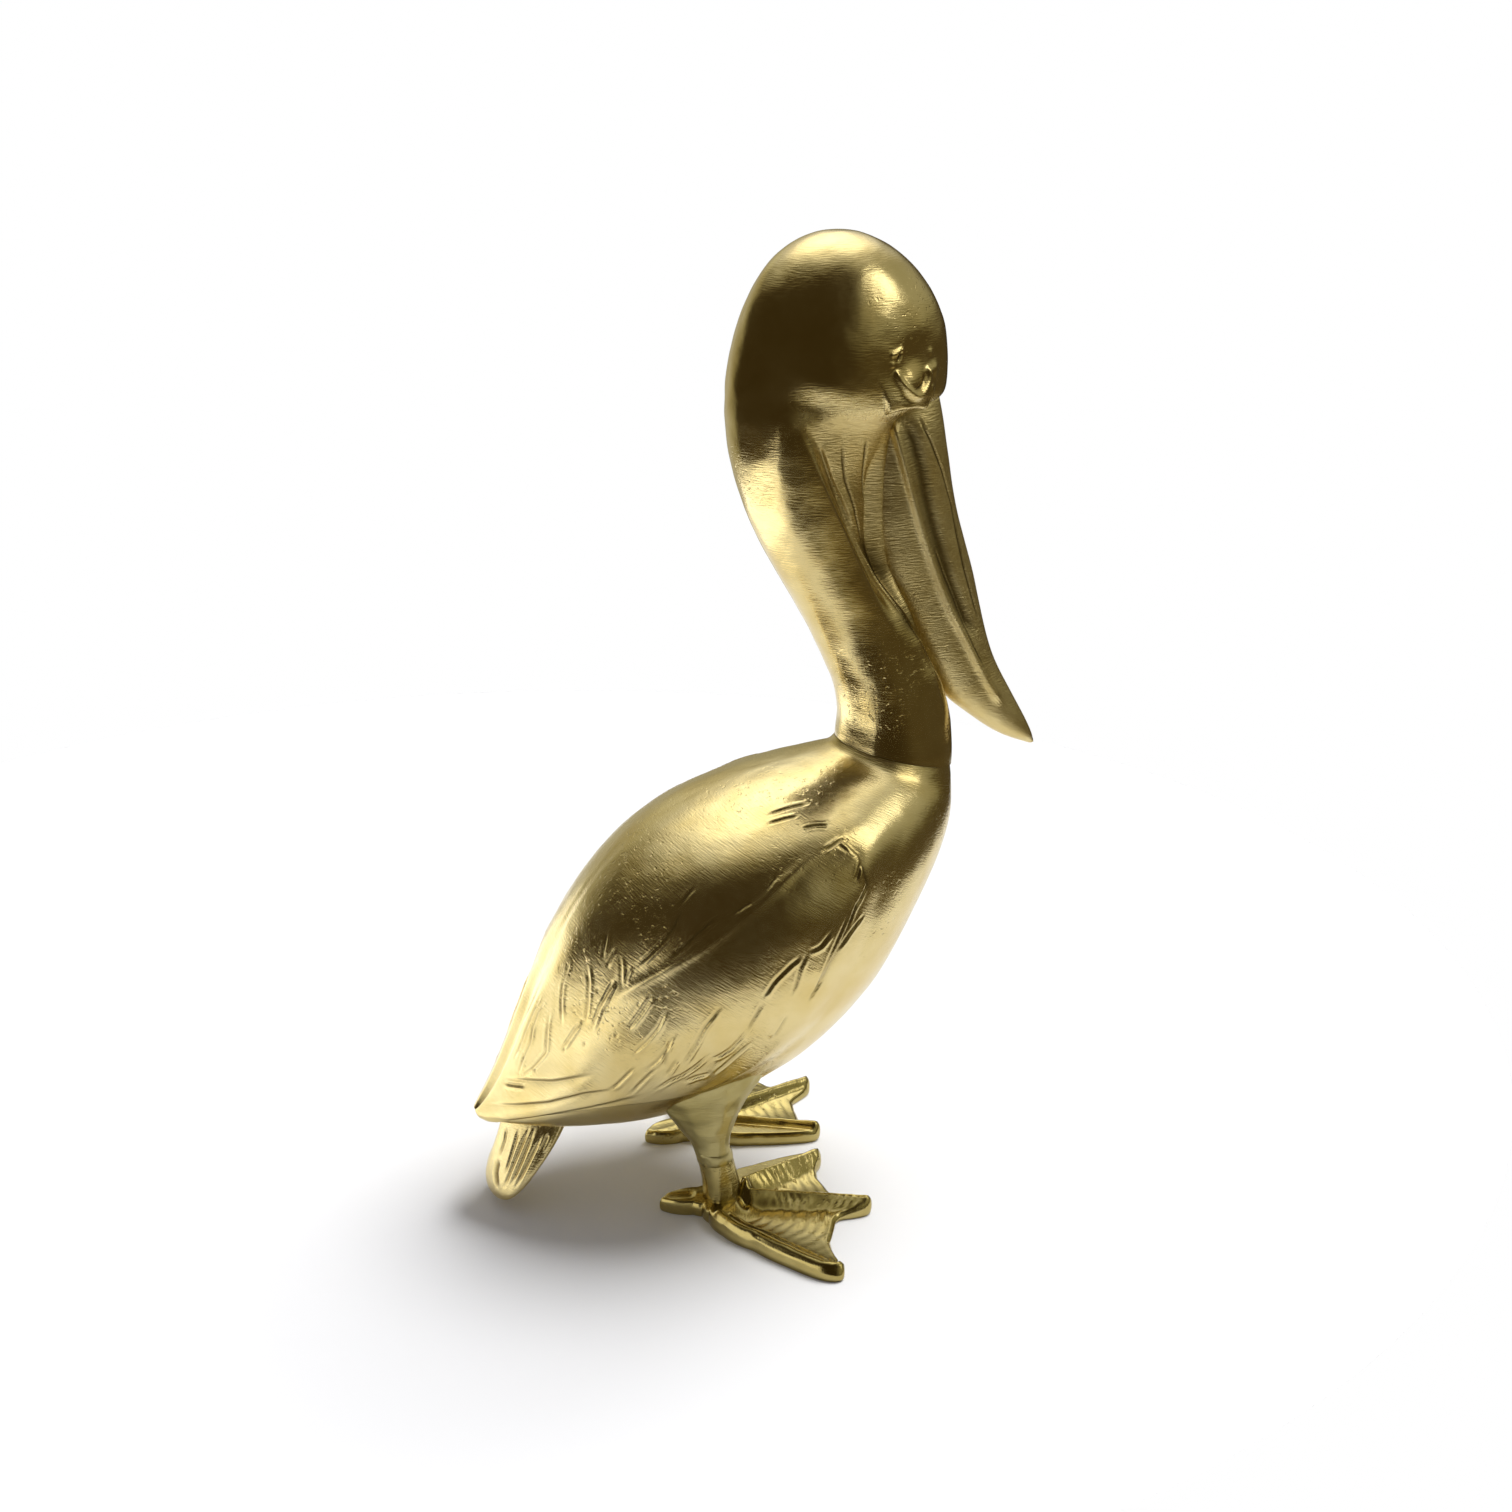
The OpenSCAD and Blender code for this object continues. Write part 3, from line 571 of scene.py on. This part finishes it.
def make_body():
    """Body with its folded wing"""
    body = Casting(BODY_RIBS, rows=330, cols=280)
    top, low, lift = (body.ribs[:, c][:, None] for c in (5, 6, 7))
    phi = body.phi[None]
    rear = between(7, 10, body.u[:, None])
    over = between(top - 6 + 4 * rear, top + 34 - 26 * rear, phi)
    under = between(low + 14 - 11 * rear, low - 4 + 4 * rear, phi)
    body.settle(WING_LIFT * lift * over * under)
    for waver in BODY_WAVERS:
        body.waver(*waver)
    body.sink_joint(np.s_[:])
    body.step(WING_FRONT, lift=0.7, edge=0.5, fade=6, drop=0.3, dark=0.5)
    body.ridge(WING_SHAFT, width=1.6, lift=0.5)
    for lines, cut in FEATHERS:
        for line in lines:
            body.stroke(line, **cut)
    for pixel in PITS:
        body.dent(pixel, radius=0.4, depth=0.25, dark=0.8)
    for line in PRIMARIES:
        body.step(line, lift=0.6, edge=0.35, fade=5, drop=0.3, dark=0.5, ends=0.4)
    # The halves meet flush at the seam
    body.height *= between(0, SEAM_REACH, -body.base[..., 1])
    return body


def make_neck():
    """Head and neck"""
    neck = Casting(NECK_RIBS, rows=330, cols=230)
    z = neck.base[..., 2]
    flat = hump(neck.phi[None] - 138, 24) * between(188, 172, z) * between(135, 155, z)
    neck.settle(FACET_LIFT * flat)
    for waver in NECK_WAVERS:
        neck.waver(*waver)
    neck.sink_joint(np.s_[::-1])
    x, y, facing = neck.seen()
    front = between(0, 0.3, facing)
    # The head overhangs the neck along the cheek
    below = y - np.interp(x, *np.array(CHEEK, float).T)
    overhang = between(-27, 27, below) * hump(np.maximum(below, 0), 51)
    neck.height -= CHEEK_OVERHANG * overhang * between(774, 830, x) * between(900, 846, x) * front
    # The throat pouch sinks in beside the bill, and its brush marks are coarse
    drop = between(408, 495, y)
    pouch = between(0, 14, x - 802 - 0.46 * (y - 439)) * between(405, 440, y) * between(650, 530, y)
    neck.height += pouch * front * (POUCH_SWELL - POUCH_DEPTH * drop)
    cheek = between(760, 800, x) * between(375, 400, y) * between(440, 425, y)
    neck.brush[..., 2] += np.maximum(POUCH_FUZZ * pouch, CHEEK_FUZZ * cheek)
    neck.ridge(NECK_FACET, width=7, lift=0.8, ends=0.5)
    for dent in EYE_DENTS:
        neck.dent(*dent)
    neck.ridge(EYE_RIM, width=0.85, lift=1.0, ends=0.08)
    neck.ridge(EYE_LID, width=0.6, lift=0.6, ends=0.1)
    neck.stroke(EYE_SLIT, **SLIT_CUT)
    neck.stroke(EYE_FOLD, **FOLD_CUT)
    neck.stroke(EYE_SHADE, **SHADE_CUT)
    neck.step(BROW, lift=2.0, edge=1.6, fade=5, drop=0.6, dark=0.2, ends=0.1)
    for line in PLEATS:
        neck.stroke(line, **PLEAT_CUT)
    # Painted shade and reflection beside the bill
    neck.stroke(WEDGE_SHADE_LINE, **WEDGE_SHADE_CUT)
    neck.ridge(FLASH, width=0.35, lift=0.4)
    neck.step(POUCH_EDGE[::-1], lift=0.5, edge=0.6, fade=5, drop=0.2, dark=0.4)
    return neck


def make_bill():
    """Bill"""
    bill = Casting(BILL_RIBS, rows=260, cols=160, blur=0.3, square=0.9, fuzz=0.35)
    bill.waver(*BILL_WAVER)
    bill.ridge(MOUTH, width=1.3, lift=1.4, ends=0.05)
    bill.stroke(BILL_HOLLOW, **HOLLOW_CUT)
    bill.stroke(CULMEN, **CULMEN_CUT)
    bill.stroke(MOUTH_CUT, **LIP_CUT)
    return bill


def make_tail():
    """Tail fan"""
    tail = Casting(TAIL_RIBS, rows=150, cols=150, blur=0.3)
    # Each side is a flat fan that faces back and outwards
    lean = np.radians(np.interp(tail.phi, [0, 125, 180], [0, 90, 180]))
    tail.base[..., 1] = -tail.ribs[:, 4][:, None] * np.sin(lean)[None] ** 1.3
    tail.settle(np.zeros(tail.height.shape))
    for line in TAIL_GROOVES:
        tail.stroke(line, **TAIL_CUT)
    tail.stroke(TAIL_GOUGE, **GOUGE_CUT)
    return tail


# Foot in its own frame: leg axis at the origin, middle toe along +X, the bird's mid-plane towards +Y
# Outline as pairs of a turn from the middle toe, towards the mid-plane, and a reach
FOOT_OUTLINE = [
    (-180, 15), (-170, 17), (-158, 13), (-145, 8.5), (-125, 7), (-100, 9.5), (-80, 16), (-62, 26),
    (-54, 38), (-49, 49), (-46, 52.3), (-43, 53), (-40, 49), (-37, 45), (-33, 41), (-28, 38),
    (-20, 36.5), (-12, 35.5), (-7.5, 36.5), (-5, 41), (-2.5, 44.5), (0, 45.5), (2.5, 44.5), (5, 40),
    (8, 35), (16, 33.5), (30, 33), (37, 35), (40, 38.5), (43, 40), (47, 38.5), (51, 33), (56, 27),
    (63, 21), (80, 13.5), (105, 8.5), (130, 7), (150, 8), (168, 12), (180, 15),
]
FOOT_TURN = 20
INNER_TURN = 43
# Outer edge of the outer toe: reach and turn
OUTER_EDGE = [(9.5, -100), (16, -80), (26, -62), (38, -54), (49, -49), (53, -43)]
HIND_TURN = 190
LEG_AXES = {RIGHT: (-18.5, -23.4), LEFT: (-13.5, 23.4)}
# Heights of the foot's forms over its sole, and how much they fall per millimetre outwards
OUTER_TOP = 6.4
CREST_TOP = 5.4
WEB_TOP = 4.8
TOE_TOP = 6.9
HIND_TOP = 5.2
KNUCKLE_TOP = 8.6
FALL = 0.02
# Depths of the webs' dishes, the hollow along the hind toe and the notch, and the rounding of the edge
DISH_DEPTH = 2.6
HIND_HOLLOW = 1.6
NOTCH_DEPTH = 1.6
EDGE_ROUND = 1.1
# How sharply the foot's forms meet
BLEND = 4
# Sides of the foot from the rim down: share of the rim's height and swell
FOOT_SIDES = ((0.85, 0.25), (0.6, 0.35), (0.35, 0.3), (0.12, 0.1), (0.0, -0.3))
FOOT_FUZZ = 0.15
LEG_FUZZ = 0.4
LEG_UNEVEN = 0.05


def toe(x, y, turn):
    """Distance along a toe and across it, counted towards the mid-plane"""
    turn = math.radians(turn)
    return x * math.cos(turn) + y * math.sin(turn), y * math.cos(turn) - x * math.sin(turn)


def rib(across, half):
    """Round section of a raised toe"""
    return np.sqrt(np.clip(1 - (across / half) ** 2, 0, 1))


def foot_top(x, y, reach):
    """Height of the foot's upper side over its sole"""
    r = np.hypot(x, y)
    turn = np.degrees(np.arctan2(y, x))
    inside = reach - r
    rough = np.array([noise.noise(Vector((a / 4, b / 4, 0))) for a, b in zip(x, y)])
    # The outer toe is a wall along the outer edge, with a fine second crest inside it
    edge_turn = np.interp(r, *np.array(OUTER_EDGE, float).T)
    from_edge = np.radians(turn - edge_turn) * r
    here = between(7, 12, r) * (turn < 30) * (turn > -130)
    outer = (OUTER_TOP - FALL * r + 0.2 * rough) * rib(from_edge - 2.4, 2.8) * here
    crest = (CREST_TOP - FALL * r) * rib(from_edge - 5.6, 1.2) * here
    # Webs hang between the toes like dishes, with faint ripples across them
    crest_turn = edge_turn + np.degrees(4 / r)
    share = np.where(turn < 0, 1 - turn / crest_turn, turn / INNER_TURN)
    dish = np.clip(np.sin(math.pi * np.clip(share, 0, 1)), 0, 1) ** 0.6 * between(7, 15, r)
    web = WEB_TOP - FALL * r - DISH_DEPTH * dish + 0.1 * np.cos(1.9 * r + 2 * rough) * dish
    web += 0.5 * hump(inside, 1.2) * dish
    # The middle and inner toes have a sharp crest and ticks along the flank on the outer side
    flanks = []
    for toe_turn, start in ((0, 9), (INNER_TURN, 10)):
        along, across = toe(x, y, toe_turn)
        flank = np.where(across < 0, TOE_TOP + 0.85 * across, TOE_TOP * rib(across, 2.2)) - FALL * along
        uneven = 0.7 + 0.6 * np.sin(0.37 * along)
        ticks = 0.25 * uneven * np.cos(3.0 * along + rough) * hump(across + 1.9, 1.3)
        flanks.append((flank + ticks + 0.3 * rough) * between(start - 4, start, along))
    along, across = toe(x, y, HIND_TURN)
    hollow = HIND_HOLLOW * hump(across, 1.6) * between(6, 9, along)
    hind = (HIND_TOP - hollow) * rib(across, 5.5) * between(1, 4, along)
    # Crumpled knuckle in front of the leg, with a deep notch beside it
    knuckle = KNUCKLE_TOP * hump(x - 8, 3.6) * hump(y - 2, 5.5) * (1 + 0.25 * rough)
    heights = np.stack([web, outer, crest, *flanks, hind, knuckle])
    top = np.log(np.exp(BLEND * heights).sum(0)) / BLEND
    top -= NOTCH_DEPTH * hump(x - 8.5, 1.4) * hump(y + 3.4, 2.2)
    edge = np.clip(1 - inside / 1.4, 0, 1)
    return top - EDGE_ROUND * (1 - np.sqrt(1 - edge**2))


def closed_rings(rings, ends):
    """Points and faces of a stack of closed rings, with a middle point at each end"""
    rows, cols = rings.shape[:2]
    points = np.concatenate([rings.reshape(-1, 3), np.asarray(ends, float)])
    # These rings run the other way round, so the quads are turned over
    faces = [tuple(q) for q in ring_faces(rows, cols)[:, [0, 3, 2, 1]]]
    first = rows * cols
    last = first + 1
    k = (rows - 1) * cols
    faces += [(first, (c + 1) % cols, c) for c in range(cols)]
    faces += [(last, k + c, k + (c + 1) % cols) for c in range(cols)]
    return points, faces


def foot_piece(name, side, material):
    """Webbed foot: a dished top and upright sides down to a flat sole"""
    turns, reaches = np.array(FOOT_OUTLINE, float).T
    turn = np.arange(-180, 180, 1.0)
    reach = np.interp(turn, turns, reaches)
    for _ in range(2):
        reach = (np.roll(reach, 1) + 2 * reach + np.roll(reach, -1)) / 4
    ray = np.stack([np.cos(np.radians(turn)), np.sin(np.radians(turn))], 1)
    rings = []
    for share in np.linspace(0.02, 1, 64):
        x, y = reach * share * ray.T
        rings.append(np.stack([x, y, foot_top(x, y, reach)], 1))
    rim = rings[-1]
    for share, swell in FOOT_SIDES:
        rings.append(np.column_stack([rim[:, :2] + ray * swell, rim[:, 2] * share]))
    rings = np.array(rings)[:, ::-1]
    ends = [(0, 0, rings[0, :, 2].mean()), (0, 0, 0)]
    points, faces = closed_rings(rings, ends)
    brush = np.column_stack([points[:, :2], np.full(len(points), FOOT_FUZZ)])
    turn_out = math.radians(-FOOT_TURN)
    x = points[:, 0] * math.cos(turn_out) - points[:, 1] * math.sin(turn_out)
    y = points[:, 0] * math.sin(turn_out) + points[:, 1] * math.cos(turn_out)
    at = LEG_AXES[side]
    points = np.column_stack([x + at[0], -side * y + at[1], points[:, 2]])
    if side == LEFT:
        faces = [f[::-1] for f in faces]
    return add_mesh(name, points, faces, np.zeros(len(points)), brush, material)


# Outline of the leg by height: reach to the rear, to the front and sideways
SHANK = [
    (3, 4.2, 7.2, 6), (6, 4.2, 7, 5.8), (9, 4.4, 6.5, 5.5), (12, 4.9, 5.9, 5.3), (15, 5.6, 5, 5.2),
    (18.2, 6.2, 4.2, 5.1),
]
RING = [
    (16.2, 5.9, 4.6, 5.1), (17.2, 6.25, 4.65, 5.35), (18.2, 6.45, 4.5, 5.4), (19.2, 6.75, 4.2, 5.3),
    (20, 6.8, 3.8, 5),
]
THIGH = [
    (17.8, 6.2, 4.2, 5.1), (20, 6.9, 3.8, 5), (22, 7.6, 3.6, 4.9), (24, 8.6, 3.8, 4.9),
    (26, 9.9, 4.2, 5), (29, 12, 5.4, 5.2), (32, 14, 6.7, 5.6), (35, 15.5, 8.2, 6), (39, 17, 11.5, 6.6),
    (46, 18, 15, 7),
]


def leg_piece(name, side, outline, material, seed):
    """Round of the leg between two heights, a little uneven"""
    _, rows = dense_ribs(outline, steps=12, blur=0.3)
    angle = np.radians(np.arange(0, 360, 4))
    rings = []
    at = LEG_AXES[side]
    for z, rear, front, beside in rows:
        bump = [noise.noise(Vector((3 * math.cos(a), 3 * math.sin(a), z / 4 + seed))) for a in angle]
        uneven = 1 + LEG_UNEVEN * np.array(bump)
        x = np.where(np.cos(angle) < 0, rear, front) * np.cos(angle) * uneven
        y = beside * np.sin(angle) * uneven
        rings.append(np.stack([at[0] + x, at[1] + y, 0 * angle + z], 1))
    rings = np.array(rings)
    points, faces = closed_rings(rings, [rings[0].mean(0), rings[-1].mean(0)])
    brush = np.column_stack([points[:, 2], points[:, 0], np.full(len(points), LEG_FUZZ)])
    return add_mesh(name, points, faces, np.zeros(len(points)), brush, material)


WHITE = (1, 1, 1, 1)
BLACK = (0, 0, 0, 1)
# Brown of the painted shade in grooves, pits and hollows
GROOVE_SHADE_BROWN = (0.12, 0.08, 0.02, 1)


def new_node(tree, kind, inputs, **settings):
    """New shader node; its inputs are values or other nodes' outputs"""
    node = tree.nodes.new("ShaderNode" + kind)
    for name, value in settings.items():
        setattr(node, name, value)
    for socket, value in inputs.items():
        if isinstance(value, bpy.types.NodeSocket):
            tree.links.new(value, node.inputs[socket])
        else:
            node.inputs[socket].default_value = value
    return node


def colour_ramp(tree, value, stops):
    """Colour by a value from 0 to 1; stops pair a value with a colour"""
    node = new_node(tree, "ValToRGB", {"Fac": value})
    elements = node.color_ramp.elements
    for k, (position, colour) in enumerate(stops):
        stop = elements[k] if k < 2 else elements.new(1)
        stop.position = position
        stop.color = colour
    return node.outputs["Color"]


def mixed(tree, factor, first, second, blend="MIX"):
    """Second colour laid over the first, or added to it"""
    inputs = {"Factor": factor, "A": first, "B": second}
    return new_node(tree, "Mix", inputs, data_type="RGBA", blend_type=blend).outputs["Result"]


def brass(name, light, deep, rough, scratch):
    """Polished cast brass: uneven tone, brush marks along the casting, painted brown shade in the
    grooves
    """
    material = bpy.data.materials.new(name)
    material.use_nodes = True
    tree = material.node_tree
    spot = new_node(tree, "TexCoord", {}).outputs["Object"]

    def speckle(scale, detail, vector=spot):
        """Noise, in the piece's own space if nothing else is said"""
        inputs = {"Vector": vector, "Scale": scale, "Detail": detail}
        return new_node(tree, "TexNoise", inputs).outputs["Fac"]

    # Tone and gloss
    tone = colour_ramp(tree, speckle(70, 6), ((0.35, (*deep, 1)), (0.6, (*light, 1))))
    groove = new_node(tree, "Attribute", {}, attribute_name="groove").outputs["Fac"]
    # Painted shade: grooves, pits and hollows are darkened towards brown by their groove value
    colour = mixed(tree, groove, tone, GROOVE_SHADE_BROWN)
    gloss = new_node(
        tree, "MapRange", {"Value": speckle(500, 4), "To Min": rough - 0.04, "To Max": rough + 0.08})
    brush = new_node(tree, "Attribute", {}, attribute_name="brush").outputs["Vector"]
    coarse = new_node(tree, "SeparateXYZ", {"Vector": brush}).outputs["Z"]
    blur = new_node(
        tree, "Math", {0: coarse, 1: 0.25, 2: gloss.outputs["Result"]}, operation="MULTIPLY_ADD")
    # Brush marks, long in the way around the casting
    stretch = new_node(tree, "Mapping", {"Vector": brush, "Scale": (2.2, 0.3, 0)})
    strength = new_node(tree, "Math", {0: coarse, 1: scratch}, operation="MULTIPLY")
    brushing = new_node(tree, "Bump", {
        "Strength": strength.outputs["Value"],
        "Distance": 0.0006,
        "Height": speckle(1, 4, stretch.outputs["Vector"]),
    })
    # Casting pores, in patches
    pitted = new_node(
        tree, "MapRange", {"Value": speckle(38, 2), "From Min": 0.46, "From Max": 0.62, "To Max": 0.3})
    pitting = new_node(tree, "Bump", {
        "Strength": pitted.outputs["Result"],
        "Distance": 0.0003,
        "Height": colour_ramp(tree, speckle(700, 2), ((0.60, WHITE), (0.72, BLACK))),
        "Normal": brushing.outputs["Normal"],
    })
    shader = tree.nodes["Principled BSDF"]
    shader.inputs["Metallic"].default_value = 1.0
    tree.links.new(colour, shader.inputs["Base Color"])
    tree.links.new(blur.outputs["Value"], shader.inputs["Roughness"])
    tree.links.new(pitting.outputs["Normal"], shader.inputs["Normal"])
    return material


# Finishes: light tone, deep tone, roughness and strength of the brush marks
polished = brass("polished_brass", (0.71, 0.585, 0.285), (0.65, 0.51, 0.21), 0.17, 0.7)
cast = brass("cast_brass", (0.70, 0.57, 0.27), (0.63, 0.49, 0.20), 0.12, 0.6)
worn = brass("worn_brass", (0.72, 0.59, 0.28), (0.64, 0.50, 0.205), 0.26, 0.9)
# Painted shade: the legs' brass is darker, for the shade under the body
leg = brass("shaded_leg_brass", (0.45, 0.38, 0.165), (0.36, 0.295, 0.11), 0.2, 0.5)
# Painted shade: shanks and feet get darker brass, for the shade under the body
shaded_lower_leg = brass("aged_brass", (0.48, 0.39, 0.15), (0.37, 0.29, 0.095), 0.13, 0.6)
pin = brass("pin_brass", (0.70, 0.56, 0.26), (0.62, 0.48, 0.20), 0.35, 0.3)

body = make_body()
neck = make_neck()
for side, word in SIDES:
    body_half = half_piece(f"body_{word}_cast", body, side, polished, closed=True)
    neck_half = half_piece(f"neck_{word}_cast", neck, side, cast, closed=False)
    place(body_half, "polished_brass", f"body_{word}_shell")
    place(neck_half, "cast_brass", f"neck_{word}_shell")
place(whole_piece("bill_cast", make_bill(), worn), "cast_brass", "bill")
place(whole_piece("tail_cast", make_tail(), polished), "polished_brass", "tail_fan")

for side, word in SIDES:
    place(leg_piece(f"{word}_thigh_cast", side, THIGH, leg, 1), "polished_brass", f"{word}_thigh")
    place(leg_piece(f"{word}_ring_bead", side, RING, leg, 2), "cast_brass", f"{word}_leg_ring")
    place(leg_piece(f"{word}_shank_cast", side, SHANK, shaded_lower_leg, 3), "aged_brass", f"{word}_shank")
    place(foot_piece(f"{word}_foot_cast", side, shaded_lower_leg), "aged_brass", f"{word}_foot")

# Pins, dowels and the sleeve keep their CAD shape
for node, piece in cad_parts.items():
    if node.endswith(("pins", "dowels", "sleeve")):
        piece.data.materials.clear()
        piece.data.materials.append(pin)

# Floor, in metres
FLOOR_RADIUS = 0.36
FLOOR_MIDDLE = (-0.05, 0.17, 0)
floor_paint = bpy.data.materials.new("floor_paint")
floor_paint.use_nodes = True
floor_shader = floor_paint.node_tree.nodes["Principled BSDF"]
floor_shader.inputs["Base Color"].default_value = (0.92, 0.92, 0.92, 1)
floor_shader.inputs["Roughness"].default_value = 0.8
bpy.ops.mesh.primitive_circle_add(
    vertices=128, radius=FLOOR_RADIUS, fill_type="NGON", location=FLOOR_MIDDLE)
floor = bpy.context.object
floor.name = "floor"
floor.data.materials.append(floor_paint)


def softbox(name, turn, rise, distance, height, size, power):
    """Rectangular area light, for reflections only, aimed at a height on the figurine's axis"""
    lamp = bpy.data.lights.new(name, "AREA")
    lamp.shape = "RECTANGLE"
    lamp.size, lamp.size_y = size
    lamp.energy = power
    holder = bpy.data.objects.new(name, lamp)
    away = towards(turn, rise)
    holder.location = Vector((0, 0, height)) + distance * away
    holder.rotation_euler = away.to_track_quat("Z", "Y").to_euler()
    holder.visible_camera = False
    holder.visible_diffuse = False
    bpy.context.scene.collection.objects.link(holder)


softbox("window", turn=70, rise=42, distance=1.2, height=0.15, size=(0.5, 0.5), power=1.7)
softbox("card", turn=-85, rise=0, distance=0.19, height=0.045, size=(0.50, 0.09), power=0.19)
sun_data = bpy.data.lights.new("key", "SUN")
sun_data.energy = 3.3
sun_data.angle = math.radians(34)
sun = bpy.data.objects.new("key", sun_data)
sun.rotation_euler = towards(128, 63).to_track_quat("Z", "Y").to_euler()
sun.visible_glossy = False
bpy.context.scene.collection.objects.link(sun)

# Surroundings: a bright ceiling behind the figurine, a grey room on the camera's right, white paper
# below, a pale backdrop low at the back on the left, and dark everywhere else
world = bpy.data.worlds.new("studio")
bpy.context.scene.world = world
world.use_nodes = True
sky = world.node_tree
outward = new_node(sky, "TexCoord", {}).outputs["Generated"]
# Shades and the share of green and blue in them: the darker, the warmer
TINT_SHADES = (0.05, 0.25, 0.7)
TINT_GREEN = (0.72, 0.96, 1)
TINT_BLUE = (0.3, 0.6, 1)
FLOOR_GREY = (0.22, 0.22, 0.24, 1)


def facing(turn, rise):
    """How closely a direction points to a turn and a rise, from -1 to 1"""
    inputs = {0: outward, 1: towards(turn, rise)}
    return new_node(sky, "VectorMath", inputs, operation="DOT_PRODUCT").outputs["Value"]


def within(value, low, high):
    """Smooth rise of a value's share from 0 at low to 1 at high"""
    inputs = {"Value": value, "From Min": low, "From Max": high}
    return new_node(sky, "MapRange", inputs, interpolation_type="SMOOTHSTEP").outputs["Result"]


def shades(value, stops):
    """Brightness by a value from -1 to 1"""
    span = new_node(sky, "MapRange", {"Value": value, "From Min": -1})
    tinted = []
    for at, shade in stops:
        green = shade * np.interp(shade, TINT_SHADES, TINT_GREEN)
        blue = shade * np.interp(shade, TINT_SHADES, TINT_BLUE)
        tinted.append(((at + 1) / 2, (shade, green, blue, 1)))
    return colour_ramp(sky, span.outputs["Result"], tinted)


ceiling = shades(facing(180, 64), (
    (-1, 0.047), (0.5, 0.047), (0.6, 0.11), (0.7, 0.42), (0.8, 0.7), (0.86, 1.1), (0.93, 1.9), (1, 2.8)))
side_room = shades(facing(0, 90), (
    (-1, 0.12), (-0.05, 0.08), (0.05, 0.09), (0.2, 0.3), (0.34, 0.42), (0.7, 0.38), (1, 0.34)))
paper = shades(facing(0, -90), (
    (-1, 0.0), (0.25, 0.0), (0.4, 0.03), (0.5, 0.18), (0.62, 0.46), (0.8, 0.6), (1, 0.65)))
backdrop = shades(facing(-150, -8), ((-1, 0.0), (0.76, 0.0), (0.88, 0.3), (1, 0.5)))
room = mixed(sky, within(facing(90, 0), 0.25, 0.75), ceiling, side_room)
room = mixed(sky, within(facing(-20, 0), 0.88, 0.62), room, paper, "ADD")
room = mixed(sky, 1, room, backdrop, "ADD")
# The floor gets an even grey light, and the camera sees white
rays = new_node(sky, "LightPath", {})
room = mixed(sky, rays.outputs["Is Diffuse Ray"], room, FLOOR_GREY)
room = mixed(sky, rays.outputs["Is Camera Ray"], room, WHITE)
sky.links.new(room, sky.nodes["Background"].inputs["Color"])

camera_data = bpy.data.cameras.new("camera")
camera_data.lens = FOCAL / PHOTO * SENSOR
camera_data.sensor_width = SENSOR
camera = bpy.data.objects.new("camera", camera_data)
camera.location = EYE * MM
camera.rotation_euler = (math.radians(90 - PITCH), 0, math.radians(-HEADING))
bpy.context.scene.collection.objects.link(camera)
bpy.context.scene.camera = camera
bpy.context.scene.view_settings.view_transform = "Standard"

bpy.context.view_layer.update()
